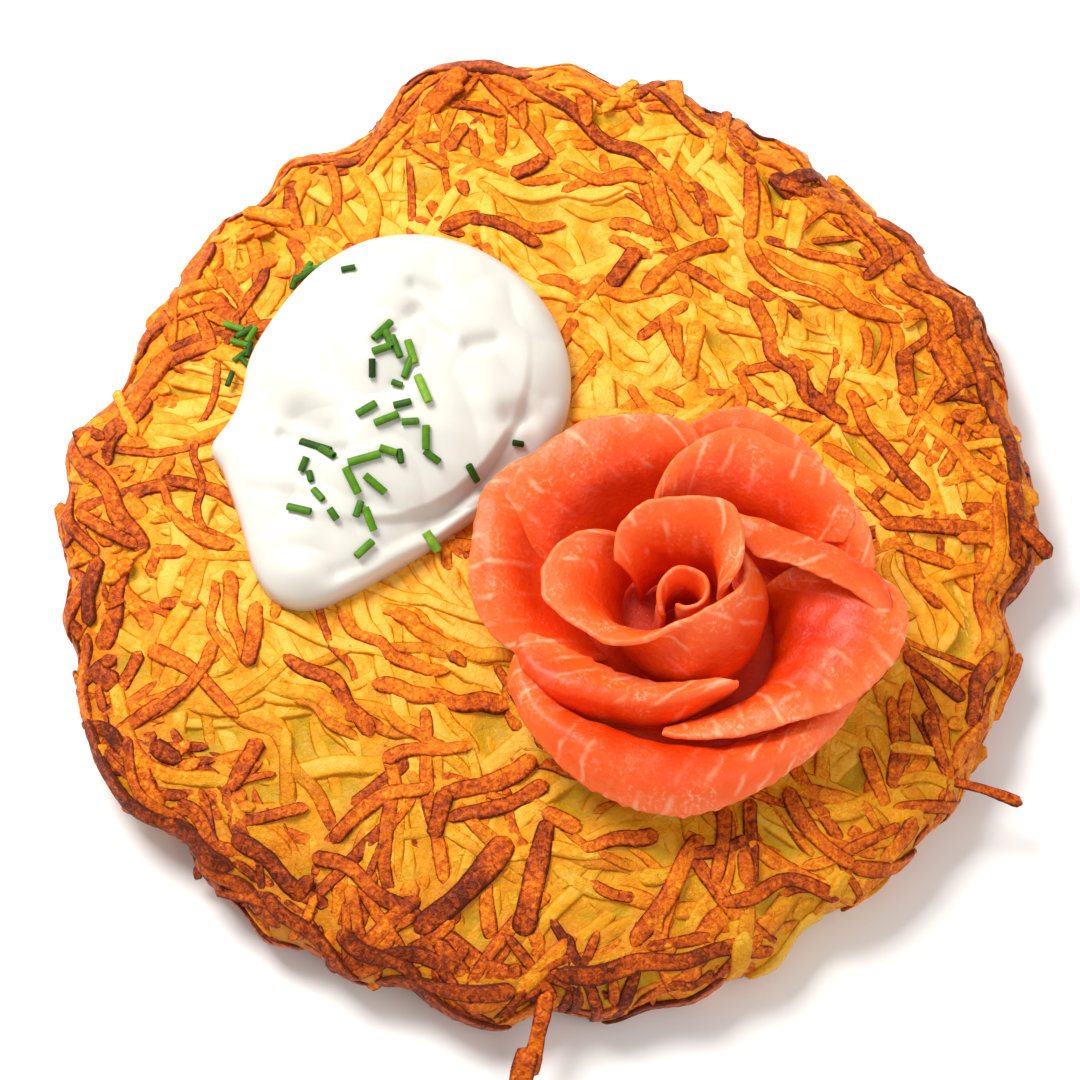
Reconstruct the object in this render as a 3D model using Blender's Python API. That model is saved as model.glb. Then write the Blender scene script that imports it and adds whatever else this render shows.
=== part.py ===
"""Potato rosti topped with a spoonful of sour cream and a rose of smoked salmon slices.

Row frame: +Z up, +X to the right, -Y towards the eater, metres. The origin is at the middle of the
cake's outline on the surface that it rests on. Every node is one closed solid:
  rosti                the fried potato cake, out to its uneven outline, with the ridges of its shreds
  sour_cream           the dollop, whose underside follows the cake
  salmon_base          the slice laid flat on the cake, on which the rose stands
  salmon_heart, salmon_cup_*, salmon_petal_*   the slices of the rose, wound one outside the other
"""

import collections
import math
import random

import bmesh
import bpy

MM = 0.001
SEAT_GAP = 0.6 * MM  # between the cake and what rests on it

# The potato cake
ROSTI_HALF_WIDTH = 79.5 * MM
ROSTI_HALF_DEPTH = 84.5 * MM
ROSTI_CROWN = 18.5 * MM  # height of the middle, without ridges
ROSTI_BELLY = 8.0 * MM  # height at which the side reaches furthest out
ROSTI_UNDERCUT = 5.0 * MM  # how far the foot lies inside the outline
SWELL = 0.4 * MM  # height of the top's shallow hills
SWELL_SPAN = 14.0 * MM
ROSTI_RINGS = 24
SIDE_BANDS = 3
# (direction in degrees, half width in degrees, how far out) of the bumps and dents of the outline
ROSTI_OUTLINE = (
    (2, 6, 1.0 * MM),
    (22, 5, 2.0 * MM),
    (52, 9, -3.2 * MM),
    (72, 5, 1.2 * MM),
    (82, 8, -1.6 * MM),
    (101, 5, 5.2 * MM),
    (114, 6, -3.0 * MM),
    (130, 11, -5.6 * MM),
    (158, 9, -5.4 * MM),
    (173, 5, 2.6 * MM),
    (213, 13, 3.0 * MM),
    (268, 14, 2.4 * MM),
    (314, 14, 1.0 * MM),
    (345, 7, -1.2 * MM),
)
# (waves round the outline, shift in radians, height)
ROSTI_RAGGED = (
    (9, 1.1, 0.6 * MM),
    (14, 0.2, 0.5 * MM),
    (23, 2.9, 0.6 * MM),
    (31, 4.4, 0.5 * MM),
    (38, 0.7, 0.4 * MM),
)
RIDGE_COUNT = 110
RIDGE_HEIGHT = 2.8 * MM
RIDGE_HALF_WIDTH = 2.5 * MM
RIDGE_LENGTH = (18 * MM, 40 * MM)
RIDGE_SPREAD = 0.9  # how far their directions stray from along the outline, in radians
# where the ridges start to rise and have risen: outside the cream's edge, from the rose's axis
CREAM_CLEAR = (4.5 * MM, 8 * MM)
ROSE_CLEAR = (26 * MM, 31 * MM)

# The dollop of sour cream
CREAM_CENTRE = (-26.0 * MM, 14.0 * MM)
CREAM_RADIUS = 29.5 * MM
CREAM_OUTLINE = (
    (60, 40, 3.6 * MM),
    (100, 22, 1.6 * MM),
    (172, 10, -2.4 * MM),
    (190, 5, 1.2 * MM),
    (243, 15, 8.6 * MM),
    (308, 30, -6.8 * MM),
)
CREAM_EDGE = 0.6 * MM  # thickness at its outline
CREAM_SKIRT = 4.6 * MM  # thickness of the low outer ledge
CREAM_RINGS = 10
# (x, y, radius, height) of the mounds on it, from the dollop's centre
CREAM_MOUNDS = (
    (3.5 * MM, 10.5 * MM, 25.0 * MM, 7.5 * MM),
    (-11.5 * MM, -19.0 * MM, 16.5 * MM, 3.2 * MM),
)
# (start x, start y, end x, end y, half width, depth) of the fold and dimples in its surface
CREAM_DENTS = (
    (-29 * MM, -5 * MM, -8 * MM, 0.0, 2.6 * MM, 1.8 * MM),
    (6 * MM, 21 * MM, 7 * MM, 21 * MM, 4.5 * MM, 1.3 * MM),
    (14 * MM, 11 * MM, 14 * MM, 10 * MM, 4.0 * MM, 1.2 * MM),
    (20 * MM, -2 * MM, 21 * MM, -1 * MM, 4.0 * MM, 1.5 * MM),
    (-4 * MM, 9 * MM, -3 * MM, 4 * MM, 3.5 * MM, 1.0 * MM),
)
SWIRL_HEIGHT = 0.7 * MM
SWIRL_PITCH = 11.0 * MM

# The salmon rose
ROSE_CENTRE = (23.0 * MM, -23.5 * MM)
BASE_RADIUS = 22.5 * MM  # the slice laid flat on the cake, on which the others stand
BASE_THICKNESS = 1.7 * MM
BASE_RINGS = 5
FOOT_LIFT = BASE_THICKNESS + 1.5 * MM
RIM_SHARE = 0.55  # thickness at a slice's edges over that in its middle
CORNER_DROP = 0.25  # share of its width by which a slice's lip drops at its two ends

# axis: where the slice winds round, from the rose's centre, in mm
# thickness in mm, twist: how far the lip is turned on from the foot, in degrees
# columns, rows: of the solid's faces
# stations along the slice: direction in degrees, distance of its foot from the axis, then distance
#   and height over the foot of its waist, its crest and its lip, in mm
Slice = collections.namedtuple("Slice", "axis thickness twist columns rows stations")
SLICES = {
    "salmon_heart": Slice((-0.8, -0.8), 1.5, 0, 18, 4, (
        (215, 4.5, (4.4, 5), (4.3, 10), (4.6, 13.6)),
        (120, 4, (3.9, 5), (3.8, 10.5), (4.2, 14.4)),
        (20, 3.5, (3.4, 5), (3.3, 10.5), (3.8, 14.2)),
        (-80, 2.5, (2.4, 5), (2.3, 10), (2.4, 13.4)),
        (-170, 1.3, (1.2, 5), (1.1, 9), (1.1, 12.2)),
    )),
    "salmon_cup_back": Slice((0, 0), 1.8, 0, 17, 5, (
        (156, 9, (9.6, 5.5), (12.4, 11), (17.6, 15)),
        (128, 8.6, (9, 6), (11.4, 13), (15.9, 17.8)),
        (96, 7.8, (7.8, 7), (9.4, 14.5), (13.3, 19.3)),
        (64, 7.4, (7.2, 7), (8.6, 15), (13.1, 19.2)),
        (34, 7, (6.8, 7), (6.4, 15), (9.9, 19)),
        (4, 6.8, (6.6, 7), (5, 14.5), (7.6, 18.2)),
        (-22, 6.4, (6.4, 7), (4.6, 12.5), (4.8, 15.4)),
    )),
    "salmon_cup_front": Slice((0, 0), 1.9, 0, 22, 5, (
        (44, 10.8, (11.6, 6), (10.8, 12), (9.6, 14.5)),
        (10, 10.8, (11.8, 6), (10.2, 12), (8.2, 16.6)),
        (-30, 11, (11.8, 6), (8.6, 13), (6.4, 17.2)),
        (-75, 11.4, (12.2, 5.5), (8, 13.5), (5.6, 17)),
        (-110, 11.4, (12.2, 5), (7.6, 12.5), (7.8, 15.8)),
        (-138, 11.2, (12.2, 4.5), (10.6, 11), (14.6, 14.3)),
        (-165, 11.2, (12.6, 5), (15.4, 10), (20.6, 12.4)),
        (-190, 11.6, (13.4, 5.5), (18.4, 10.5), (24.6, 12)),
        (-208, 11.8, (13.8, 5.5), (17.6, 10.5), (20.8, 12.6)),
    )),
    "salmon_petal_front_left": Slice((0, 0), 1.8, 0, 14, 6, (
        (197, 24, (25.8, 3.4), (26.4, 6.6), (19.4, 4.6)),
        (206, 25.8, (27, 3.4), (26.6, 7.2), (18.6, 5)),
        (218, 24.6, (25.6, 4), (24.6, 8.2), (16.4, 5.6)),
        (236, 21.6, (22, 4.5), (20.6, 8.6), (14.6, 5.8)),
        (256, 19.4, (19.8, 4.5), (18.2, 8.8), (13.8, 6.4)),
        (278, 16.4, (17, 4.5), (16.4, 9.2), (13.8, 7.8)),
        (301, 15, (15.8, 4.5), (16.8, 9.6), (14.6, 10)),
    )),
    "salmon_petal_right": Slice((0, 0), 1.9, 0, 15, 5, (
        (264, 20.6, (21, 3), (21.8, 5.4), (23.4, 6.8)),
        (284, 18.6, (19.8, 4.4), (21.6, 6.8), (24.2, 7.6)),
        (310, 17.4, (19.2, 4.4), (22.4, 7.4), (26.6, 7.8)),
        (330, 15.6, (18.6, 4.4), (25, 7.8), (31.6, 7.6)),
        (346, 14.4, (18.6, 4.4), (28, 8.8), (35.4, 7.8)),
        (358, 14, (18, 4.2), (27.6, 8.4), (34.6, 8.2)),
        (366, 13.8, (16.4, 3.4), (20.6, 5.4), (24, 6.4)),
        (384, 13.4, (14.4, 2.6), (16, 4.4), (17, 5.4)),
    )),
    "salmon_petal_hem": Slice((0, 0), 1.7, -7, 12, 5, (
        (8, 23.6, (27.4, 5), (31.2, 10.2), (26.4, 11.2)),
        (13, 21, (25, 5.6), (28.4, 11.8), (20.6, 12)),
        (20, 18.4, (21.6, 6.5), (24.4, 12.6), (17, 12.4)),
        (34, 16, (17.6, 7.5), (19, 13.6), (12.8, 12.6)),
        (50, 14.6, (15.4, 7.5), (15.8, 14), (12, 13.8)),
        (68, 14, (14.6, 7), (15, 13.4), (13.2, 14.6)),
    )),
    "salmon_petal_fold": Slice((0, 0), 1.8, -22, 8, 5, (
        (124, 14, (14.6, 7.5), (17, 13.6), (22.4, 14.4)),
        (104, 14.4, (16, 7.5), (20.4, 13), (27.4, 14.8)),
        (84, 15.4, (17.4, 7.5), (22.4, 12), (28.8, 13.4)),
        (62, 17.4, (19, 6.5), (22.6, 10.4), (27.4, 11.4)),
    )),
    "salmon_petal_back_left": Slice((0, 0), 1.9, 0, 8, 5, (
        (146, 18, (22, 4), (27.6, 9), (33, 11)),
        (128, 17.6, (22, 5), (27.6, 10), (34, 11.6)),
        (106, 17.4, (21.6, 5.5), (27, 11), (32.6, 12.6)),
        (85, 17.4, (21.2, 5.6), (26.4, 11.4), (31.4, 13.8)),
    )),
    "salmon_petal_left": Slice((0, 0), 1.9, 0, 9, 5, (
        (192, 23.2, (27, 2.8), (29.8, 5.6), (31.2, 5)),
        (178, 22, (27, 3.4), (31.6, 7), (34.8, 5.6)),
        (164, 21.4, (27.6, 3.6), (33, 8), (37.4, 6.6)),
        (148, 21, (28, 4), (34.4, 9), (38.8, 8.2)),
        (132, 21, (28, 4), (34, 9), (38.4, 9.4)),
        (117, 21, (27, 4), (30, 9), (32.4, 10)),
    )),
    "salmon_petal_back_right": Slice((0, 0), 1.9, 0, 9, 5, (
        (92, 20.6, (24.8, 4.4), (29.8, 9.2), (32.6, 11.2)),
        (72, 20.4, (24, 4.6), (28.6, 10), (33.6, 12.4)),
        (52, 20.6, (24.4, 4.6), (28.4, 9.6), (33, 11.2)),
        (34, 21, (25, 4.2), (28.6, 8.6), (31.6, 9.2)),
        (12, 24, (27.4, 3.8), (30.6, 7), (33, 7.6)),
    )),
    "salmon_petal_front": Slice((0, 0), 1.9, 0, 15, 6, (
        (203, 29.5, (29.9, 2.2), (30.7, 3.8), (31.3, 2)),
        (216, 27.8, (28.2, 4), (30.6, 6.8), (32.8, 3)),
        (238, 24.8, (25.2, 4.8), (29.8, 8.2), (34.8, 3)),
        (258, 23.8, (24.4, 4.6), (29, 7.9), (34.8, 3)),
        (278, 23.4, (24, 3.6), (28.2, 6.4), (33, 2.8)),
        (304, 24.4, (25, 2.8), (28.4, 5.2), (31.8, 2.6)),
        (340, 26, (26.8, 2.4), (29.6, 4), (32.4, 2.2)),
    )),
}


def clear_scene():
    for obj in list(bpy.data.objects):
        bpy.data.objects.remove(obj, do_unlink=True)


def make_material(name, colour, roughness):
    """A matt or wet food surface: colour is linear red, green and blue."""
    material = bpy.data.materials.new(name)
    material.use_nodes = True
    shader = material.node_tree.nodes["Principled BSDF"]
    shader.inputs["Base Color"].default_value = (*colour, 1.0)
    shader.inputs["Roughness"].default_value = roughness
    shader.inputs["Metallic"].default_value = 0.0
    return material


def add_object(name, points, faces, material, place=(0.0, 0.0, 0.0)):
    """A smooth shaded object at its place, from points measured from there, faces consistent."""
    mesh = bpy.data.meshes.new(name)
    mesh.from_pydata(points, [], faces)
    mesh.materials.append(material)
    shape = bmesh.new()
    shape.from_mesh(mesh)
    bmesh.ops.recalc_face_normals(shape, faces=shape.faces)
    shape.to_mesh(mesh)
    shape.free()
    mesh.shade_smooth()
    obj = bpy.data.objects.new(name, mesh)
    obj.location = place
    bpy.context.scene.collection.objects.link(obj)
    return obj


def smooth_step(value, low, high):
    share = min(1.0, max(0.0, (value - low) / (high - low)))
    return share * share * (3 - 2 * share)


def outline_offset(angle, bumps):
    """How far a bumpy outline stands out from its plain curve in a direction, in radians."""
    offset = 0.0
    for direction, half_width, height in bumps:
        turn = (math.degrees(angle) - direction + 180) % 360 - 180
        offset += height * math.exp(-0.5 * (turn / half_width) ** 2)
    return offset


def rosti_radius(angle):
    oval = 1 / math.hypot(
        math.cos(angle) / ROSTI_HALF_WIDTH, math.sin(angle) / ROSTI_HALF_DEPTH
    )
    ragged = sum(
        height * math.sin(waves * angle + shift) for waves, shift, height in ROSTI_RAGGED
    )
    return oval + ragged + outline_offset(angle, ROSTI_OUTLINE)


def cream_radius(angle):
    return CREAM_RADIUS + outline_offset(angle, CREAM_OUTLINE)


def bed_height(x, y):
    """The cake's top without ridges: flat in the middle, falling to the belly at the outline."""
    share = min(1.0, math.hypot(x, y) / rosti_radius(math.atan2(y, x)))
    dome = math.sqrt(1 - share**5)
    swell = SWELL * math.sin(x / SWELL_SPAN + 0.8) * math.cos(y / SWELL_SPAN - 0.4)
    return ROSTI_BELLY + (ROSTI_CROWN - ROSTI_BELLY) * dome + swell * dome


def off_segment(x, y, start_x, start_y, along_x, along_y, length):
    """Distance of a point from a segment that starts at a point and runs along a unit direction."""
    along = (x - start_x) * along_x + (y - start_y) * along_y
    along = min(length, max(0.0, along))
    return math.hypot(x - start_x - along * along_x, y - start_y - along * along_y)


def covered(x, y):
    """1 under the cream and the rose's foot, 0 clear of them, where the ridges show."""
    cream_x, cream_y = x - CREAM_CENTRE[0], y - CREAM_CENTRE[1]
    cream_edge = cream_radius(math.atan2(cream_y, cream_x))
    under_cream = 1 - smooth_step(
        math.hypot(cream_x, cream_y) - cream_edge, CREAM_CLEAR[0], CREAM_CLEAR[1]
    )
    rose = math.hypot(x - ROSE_CENTRE[0], y - ROSE_CENTRE[1])
    return max(under_cream, 1 - smooth_step(rose, ROSE_CLEAR[0], ROSE_CLEAR[1]))


def make_ridges():
    """Shreds that stand out of the top, as (start x, start y, direction x, direction y, length)."""
    chance = random.Random(8)
    ridges = []
    for _ in range(RIDGE_COUNT):
        around, out = chance.uniform(0, math.tau), math.sqrt(chance.random())
        reach = rosti_radius(around) * out
        turn = around + math.pi / 2 + chance.gauss(0, RIDGE_SPREAD)
        length = chance.uniform(*RIDGE_LENGTH)
        ridges.append(
            (
                reach * math.cos(around) - 0.5 * length * math.cos(turn),
                reach * math.sin(around) - 0.5 * length * math.sin(turn),
                math.cos(turn),
                math.sin(turn),
                length,
            )
        )
    return ridges


def ridge_height(x, y, ridges):
    """The highest ridge at a point."""
    highest = 0.0
    for ridge in ridges:
        distance = off_segment(x, y, *ridge)
        if distance < 3 * RIDGE_HALF_WIDTH:
            rise = RIDGE_HEIGHT * math.exp(-((distance / RIDGE_HALF_WIDTH) ** 2))
            highest = max(highest, rise)
    return highest


def disc_layout(rings):
    """An evenly spaced disc: ring k holds 6k points. Gives (share of the radius, angle) and triangles."""
    spots, faces = [(0.0, 0.0)], []
    first = 1
    for ring in range(1, rings + 1):
        count = 6 * ring
        spots += [(ring / rings, math.tau * k / count) for k in range(count)]
        inner_first, inner_count = first - max(1, count - 6), max(1, count - 6)
        for side in range(6):
            for k in range(ring):
                outer = side * ring + k
                inner = side * (ring - 1) + k
                here = inner_first + inner % inner_count
                a, b = first + outer, first + (outer + 1) % count
                faces.append((a, b, here))
                if k < ring - 1:
                    faces.append((b, inner_first + (inner + 1) % inner_count, here))
        first += count
    return spots, faces


def add_shell(name, top, under, faces, rim, material, place):
    """A disc layout's top and underside joined into one solid round their last ring."""
    count = len(top)
    outer = count - rim
    faces = faces + [tuple(count + k for k in reversed(face)) for face in faces]
    for k in range(rim):
        after = (k + 1) % rim
        faces.append((outer + k, count + outer + k, count + outer + after, outer + after))
    return add_object(name, top + under, faces, material, place)


def build_rosti(material):
    """Domed top with ridges, a round undercut side and one flat face underneath."""
    spots, faces = disc_layout(ROSTI_RINGS)
    ridges = make_ridges()
    points = []
    for share, angle in spots:
        reach = rosti_radius(angle) * math.sin(share * math.pi / 2) ** 0.85
        x, y = reach * math.cos(angle), reach * math.sin(angle)
        fade = (1 - covered(x, y)) * (1 - smooth_step(share, 0.94, 1.0))
        points.append((x, y, bed_height(x, y) + fade * ridge_height(x, y, ridges)))
    sectors = 6 * ROSTI_RINGS
    upper = len(points) - sectors
    for band in range(1, SIDE_BANDS + 1):
        turn = band / SIDE_BANDS * math.pi / 2
        lower = len(points)
        for k in range(sectors):
            angle = math.tau * k / sectors
            reach = rosti_radius(angle) - ROSTI_UNDERCUT * (1 - math.cos(turn))
            height = ROSTI_BELLY * (1 - math.sin(turn))
            points.append((reach * math.cos(angle), reach * math.sin(angle), height))
        for k in range(sectors):
            after = (k + 1) % sectors
            faces.append((upper + k, lower + k, lower + after, upper + after))
        upper = lower
    faces.append(tuple(reversed(range(upper, upper + sectors))))
    return add_object("rosti", points, faces, material)


def cream_thickness(x, y):
    """Thickness of the dollop at a point measured from its centre: skirt, mounds and a spoon's swirl."""
    share = min(1.0, math.hypot(x, y) / cream_radius(math.atan2(y, x)))
    thickness = CREAM_SKIRT * (1 - share**6) ** 0.45
    for mound_x, mound_y, radius, height in CREAM_MOUNDS:
        apart = math.hypot(x - mound_x, y - mound_y) / radius
        thickness += height * max(0.0, 1 - apart**3) ** 0.8
    inside = 1 - smooth_step(share, 0.85, 1.0)
    for start_x, start_y, end_x, end_y, half_width, depth in CREAM_DENTS:
        length = math.hypot(end_x - start_x, end_y - start_y)
        along_x, along_y = (end_x - start_x) / length, (end_y - start_y) / length
        apart = off_segment(x, y, start_x, start_y, along_x, along_y, length) / half_width
        thickness -= depth * inside * math.exp(-(apart**2))
    first = CREAM_MOUNDS[0]
    apart = math.hypot(x - first[0], y - first[1])
    turn = math.atan2(y - first[1], x - first[0])
    swirl = math.sin(math.tau * apart / SWIRL_PITCH - turn)
    fade = smooth_step(apart, 2 * MM, 8 * MM) * (1 - smooth_step(share, 0.6, 0.85))
    return thickness + SWIRL_HEIGHT * swirl * fade


def build_cream(material):
    spots, faces = disc_layout(CREAM_RINGS)
    top, under = [], []
    for share, angle in spots:
        reach = cream_radius(angle) * math.sin(share * math.pi / 2)
        x, y = reach * math.cos(angle), reach * math.sin(angle)
        seat = bed_height(x + CREAM_CENTRE[0], y + CREAM_CENTRE[1]) + SEAT_GAP
        under.append((x, y, seat))
        top.append((x, y, seat + CREAM_EDGE + cream_thickness(x, y)))
    rim, place = 6 * CREAM_RINGS, (*CREAM_CENTRE, 0.0)
    return add_shell("sour_cream", top, under, faces, rim, material, place)


def build_base(material):
    """The flat slice under the rose, thinner towards its edge."""
    spots, faces = disc_layout(BASE_RINGS)
    top, under = [], []
    for share, angle in spots:
        x, y = BASE_RADIUS * share * math.cos(angle), BASE_RADIUS * share * math.sin(angle)
        seat = bed_height(x + ROSE_CENTRE[0], y + ROSE_CENTRE[1]) + SEAT_GAP
        under.append((x, y, seat))
        top.append((x, y, seat + BASE_THICKNESS * (1 - RIM_SHARE * share**8)))
    rim, place = 6 * BASE_RINGS, (*ROSE_CENTRE, 0.0)
    return add_shell("salmon_base", top, under, faces, rim, material, place)


def curve_through(values, knots, at):
    """A smooth curve through values given at knots, of cubic pieces that share their slopes."""
    spans = [after - before for before, after in zip(knots, knots[1:])]
    rises = [(after - before) / span for before, after, span in zip(values, values[1:], spans)]
    slopes = [
        (rises[k] * spans[k + 1] + rises[k + 1] * spans[k]) / (spans[k] + spans[k + 1])
        for k in range(len(spans) - 1)
    ]
    slopes = [1.5 * rises[0] - 0.5 * slopes[0], *slopes, 1.5 * rises[-1] - 0.5 * slopes[-1]]
    k = sum(at >= knot for knot in knots[1:-1])
    share = (at - knots[k]) / spans[k]
    rest = 1 - share
    from_values = values[k] * rest**2 * (1 + 2 * share) + values[k + 1] * share**2 * (1 + 2 * rest)
    from_slopes = (slopes[k] * rest - slopes[k + 1] * share) * share * rest
    return from_values + spans[k] * from_slopes


def slice_column(piece, u):
    """Direction and profile of a slice part of the way along it: distances, heights and their knots."""
    last = len(piece.stations) - 1
    flat = [(way, foot, *waist, *crest, *lip) for way, foot, waist, crest, lip in piece.stations]
    values = [curve_through(column, range(last + 1), u * last) for column in zip(*flat)]
    direction, foot, waist_out, waist_up, crest_out, crest_up, lip_out, lip_up = values
    outs, ups = (foot, waist_out, crest_out, lip_out), (0.0, waist_up, crest_up, lip_up)
    knots = [0.0]
    for k in range(3):
        knots.append(knots[-1] + math.sqrt(math.hypot(outs[k + 1] - outs[k], ups[k + 1] - ups[k])))
    return direction, outs, ups, knots


def slice_point(piece, u, v):
    """A point of a slice's middle surface: u runs round the rose, v from the foot out to the lip."""
    direction, outs, ups, knots = slice_column(piece, u)
    v *= 1 - CORNER_DROP * abs(2 * u - 1) ** 6
    out = curve_through(outs, knots, v * knots[-1]) * MM
    up = curve_through(ups, knots, v * knots[-1]) * MM
    axis_x, axis_y, foot = piece.axis[0] * MM, piece.axis[1] * MM, outs[0] * MM
    start, angle = math.radians(direction), math.radians(direction + piece.twist * v)
    foot_x, foot_y = axis_x + foot * math.cos(start), axis_y + foot * math.sin(start)
    seat = bed_height(ROSE_CENTRE[0] + foot_x, ROSE_CENTRE[1] + foot_y)
    return (axis_x + out * math.cos(angle), axis_y + out * math.sin(angle), seat + FOOT_LIFT + up)


def build_slice(name, material, rose):
    """A band of fish wound part of the way round the rose, thickened from its middle surface."""
    piece = SLICES[name]
    wide = piece.columns + 1
    points, faces, thin = [], [], []
    for row in range(piece.rows + 1):
        for column in range(wide):
            u, v = column / piece.columns, row / piece.rows
            if row == piece.rows or column in (0, piece.columns):
                thin.append(len(points))
            points.append(slice_point(piece, u, v))
    for row in range(piece.rows):
        for column in range(piece.columns):
            a = row * wide + column
            faces.append((a, a + 1, a + wide + 1, a + wide))
    obj = add_object(name, points, faces, material)
    obj.parent = rose
    flesh = obj.vertex_groups.new(name="flesh")
    flesh.add(range(len(points)), 1.0, "REPLACE")
    flesh.add(thin, RIM_SHARE, "REPLACE")
    solidify = obj.modifiers.new("Thickness", "SOLIDIFY")
    solidify.thickness = piece.thickness * MM
    solidify.offset = 0.0
    solidify.vertex_group = flesh.name
    return obj


def main():
    clear_scene()
    potato = make_material("fried_potato", (0.83, 0.38, 0.05), 0.5)
    cream = make_material("sour_cream", (0.93, 0.91, 0.86), 0.3)
    salmon = make_material("smoked_salmon", (0.90, 0.13, 0.03), 0.3)
    build_rosti(potato)
    build_cream(cream)
    build_base(salmon)
    rose = bpy.data.objects.new("salmon_rose", None)
    rose.location = (*ROSE_CENTRE, 0.0)
    bpy.context.scene.collection.objects.link(rose)
    for name in SLICES:
        build_slice(name, salmon, rose)


main()
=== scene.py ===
# Potato rosti with sour cream, chives and a rose of smoked salmon: its looks, built round the frame.
import math
import random
from functools import partial

import bpy
import numpy as np
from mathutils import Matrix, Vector


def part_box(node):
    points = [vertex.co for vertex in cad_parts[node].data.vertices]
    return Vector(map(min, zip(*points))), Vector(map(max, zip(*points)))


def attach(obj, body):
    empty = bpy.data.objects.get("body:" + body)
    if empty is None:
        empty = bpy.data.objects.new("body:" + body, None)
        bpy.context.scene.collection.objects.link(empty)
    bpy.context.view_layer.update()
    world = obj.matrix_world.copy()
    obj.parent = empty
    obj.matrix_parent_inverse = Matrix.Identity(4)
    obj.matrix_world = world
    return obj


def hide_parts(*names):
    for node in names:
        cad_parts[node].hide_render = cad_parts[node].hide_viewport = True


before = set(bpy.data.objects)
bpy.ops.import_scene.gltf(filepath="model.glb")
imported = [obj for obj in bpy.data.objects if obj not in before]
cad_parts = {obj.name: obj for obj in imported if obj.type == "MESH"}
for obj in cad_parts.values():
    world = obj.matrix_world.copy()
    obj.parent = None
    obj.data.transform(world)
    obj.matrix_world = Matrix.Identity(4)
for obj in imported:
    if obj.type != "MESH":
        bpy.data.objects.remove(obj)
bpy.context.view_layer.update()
mm = 0.001


def linear(hexColour):
    # sRGB hex to the linear colour that a shader wants
    parts = [int(hexColour[k:k + 2], 16) / 255 for k in (1, 3, 5)]
    return [p / 12.92 if p < 0.04045 else ((p + 0.055) / 1.055) ** 2.4 for p in parts] + [1.0]


def fillInputs(tree, node, inputs):
    # what goes into a node: a value, another node's output, or a node for its first output in use
    for socket, value in inputs.items():
        if isinstance(value, bpy.types.Node):
            value = next(output for output in value.outputs if output.enabled)
        if isinstance(value, bpy.types.NodeSocket):
            tree.links.new(value, node.inputs[socket])
        else:
            node.inputs[socket].default_value = value


def addNode(tree, kind, inputs=None, stops=None, **settings):
    # one node with its settings, its ramp's colours and its links
    node = tree.nodes.new(kind)
    for name, value in settings.items():
        setattr(node, name, value)
    if stops:
        ramp = node.color_ramp
        while len(ramp.elements) < len(stops):
            ramp.elements.new(1.0)
        for element, (place, colour) in zip(ramp.elements, stops):
            element.position = place
            element.color = linear(colour)
    fillInputs(tree, node, inputs or {})
    return node


def startMaterial(name):
    # a new material and a short way to add nodes to it
    material = bpy.data.materials.new(name)
    material.use_nodes = True
    return material, partial(addNode, material.node_tree)


def finishMaterial(material, inputs):
    fillInputs(material.node_tree, material.node_tree.nodes["Principled BSDF"], inputs)
    return material


def startTree(name, floats, whole=()):
    # a new Geometry Nodes tree with its named inputs, a short way to add nodes to it, and what it is given
    tree = bpy.data.node_groups.new(name, "GeometryNodeTree")
    kinds = {"Geometry": "Geometry", **dict.fromkeys(floats, "Float"), **dict.fromkeys(whole, "Int"),
             "Finish": "Material"}
    for label, kind in kinds.items():
        tree.interface.new_socket(label, in_out="INPUT", socket_type="NodeSocket" + kind)
    tree.interface.new_socket("Geometry", in_out="OUTPUT", socket_type="NodeSocketGeometry")
    add = partial(addNode, tree)
    return tree, add, add("NodeGroupInput").outputs


def finishTree(add, geometry, finish):
    smooth = add("GeometryNodeSetShadeSmooth", {"Geometry": geometry})
    real = add("GeometryNodeRealizeInstances", {"Geometry": smooth})
    coat = add("GeometryNodeSetMaterial", {"Geometry": real, "Material": finish})
    add("NodeGroupOutput", {"Geometry": coat})


def storeFields(mesh, fields):
    # numbers or vectors kept at each point of a mesh
    for name, field in fields.items():
        field = np.asarray(field, np.float32)
        kind, slot = ("FLOAT", "value") if field.ndim == 1 else ("FLOAT_VECTOR", "vector")
        mesh.attributes.new(name, kind, "POINT").data.foreach_set(slot, field.ravel())


def addPiece(name, mesh):
    piece = bpy.data.objects.new(name, mesh)
    bpy.context.scene.collection.objects.link(piece)
    return piece


def addMesh(name, points, faces, material, fields=None, smooth=True):
    mesh = bpy.data.meshes.new(name)
    mesh.from_pydata([tuple(p) for p in points], [], faces)
    mesh.materials.append(material)
    if smooth:
        mesh.shade_smooth()
    storeFields(mesh, fields or {})
    return addPiece(name, mesh)


def ringFaces(count, rows):
    # the faces of a closed skin: a first point, rows of so many points round it, and a last point
    after = (np.arange(count) + 1) % count
    faces = [(0, 1 + k, 1 + after[k]) for k in range(count)]
    for a in range(1, 1 + (rows - 1) * count, count):
        faces += [(a + k, a + count + k, a + count + after[k], a + after[k]) for k in range(count)]
    a = 1 + (rows - 1) * count
    return faces + [(a + k, a + count, a + after[k]) for k in range(count)]


def runTree(name, source, tree, values, material):
    # puts a Geometry Nodes tree on an object, sets its named inputs and keeps the result as a plain mesh
    holder = addPiece(name + "Source", source)
    modifier = holder.modifiers.new("Build", "NODES")
    modifier.node_group = tree
    values = {**values, "Finish": material}
    for item in tree.interface.items_tree:
        if item.in_out == "INPUT" and item.name in values:
            modifier[item.identifier] = values[item.name]
    graph = bpy.context.evaluated_depsgraph_get()
    mesh = bpy.data.meshes.new_from_object(holder.evaluated_get(graph))
    bpy.data.objects.remove(holder)
    mesh.name = name
    return addPiece(name, mesh)


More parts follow.
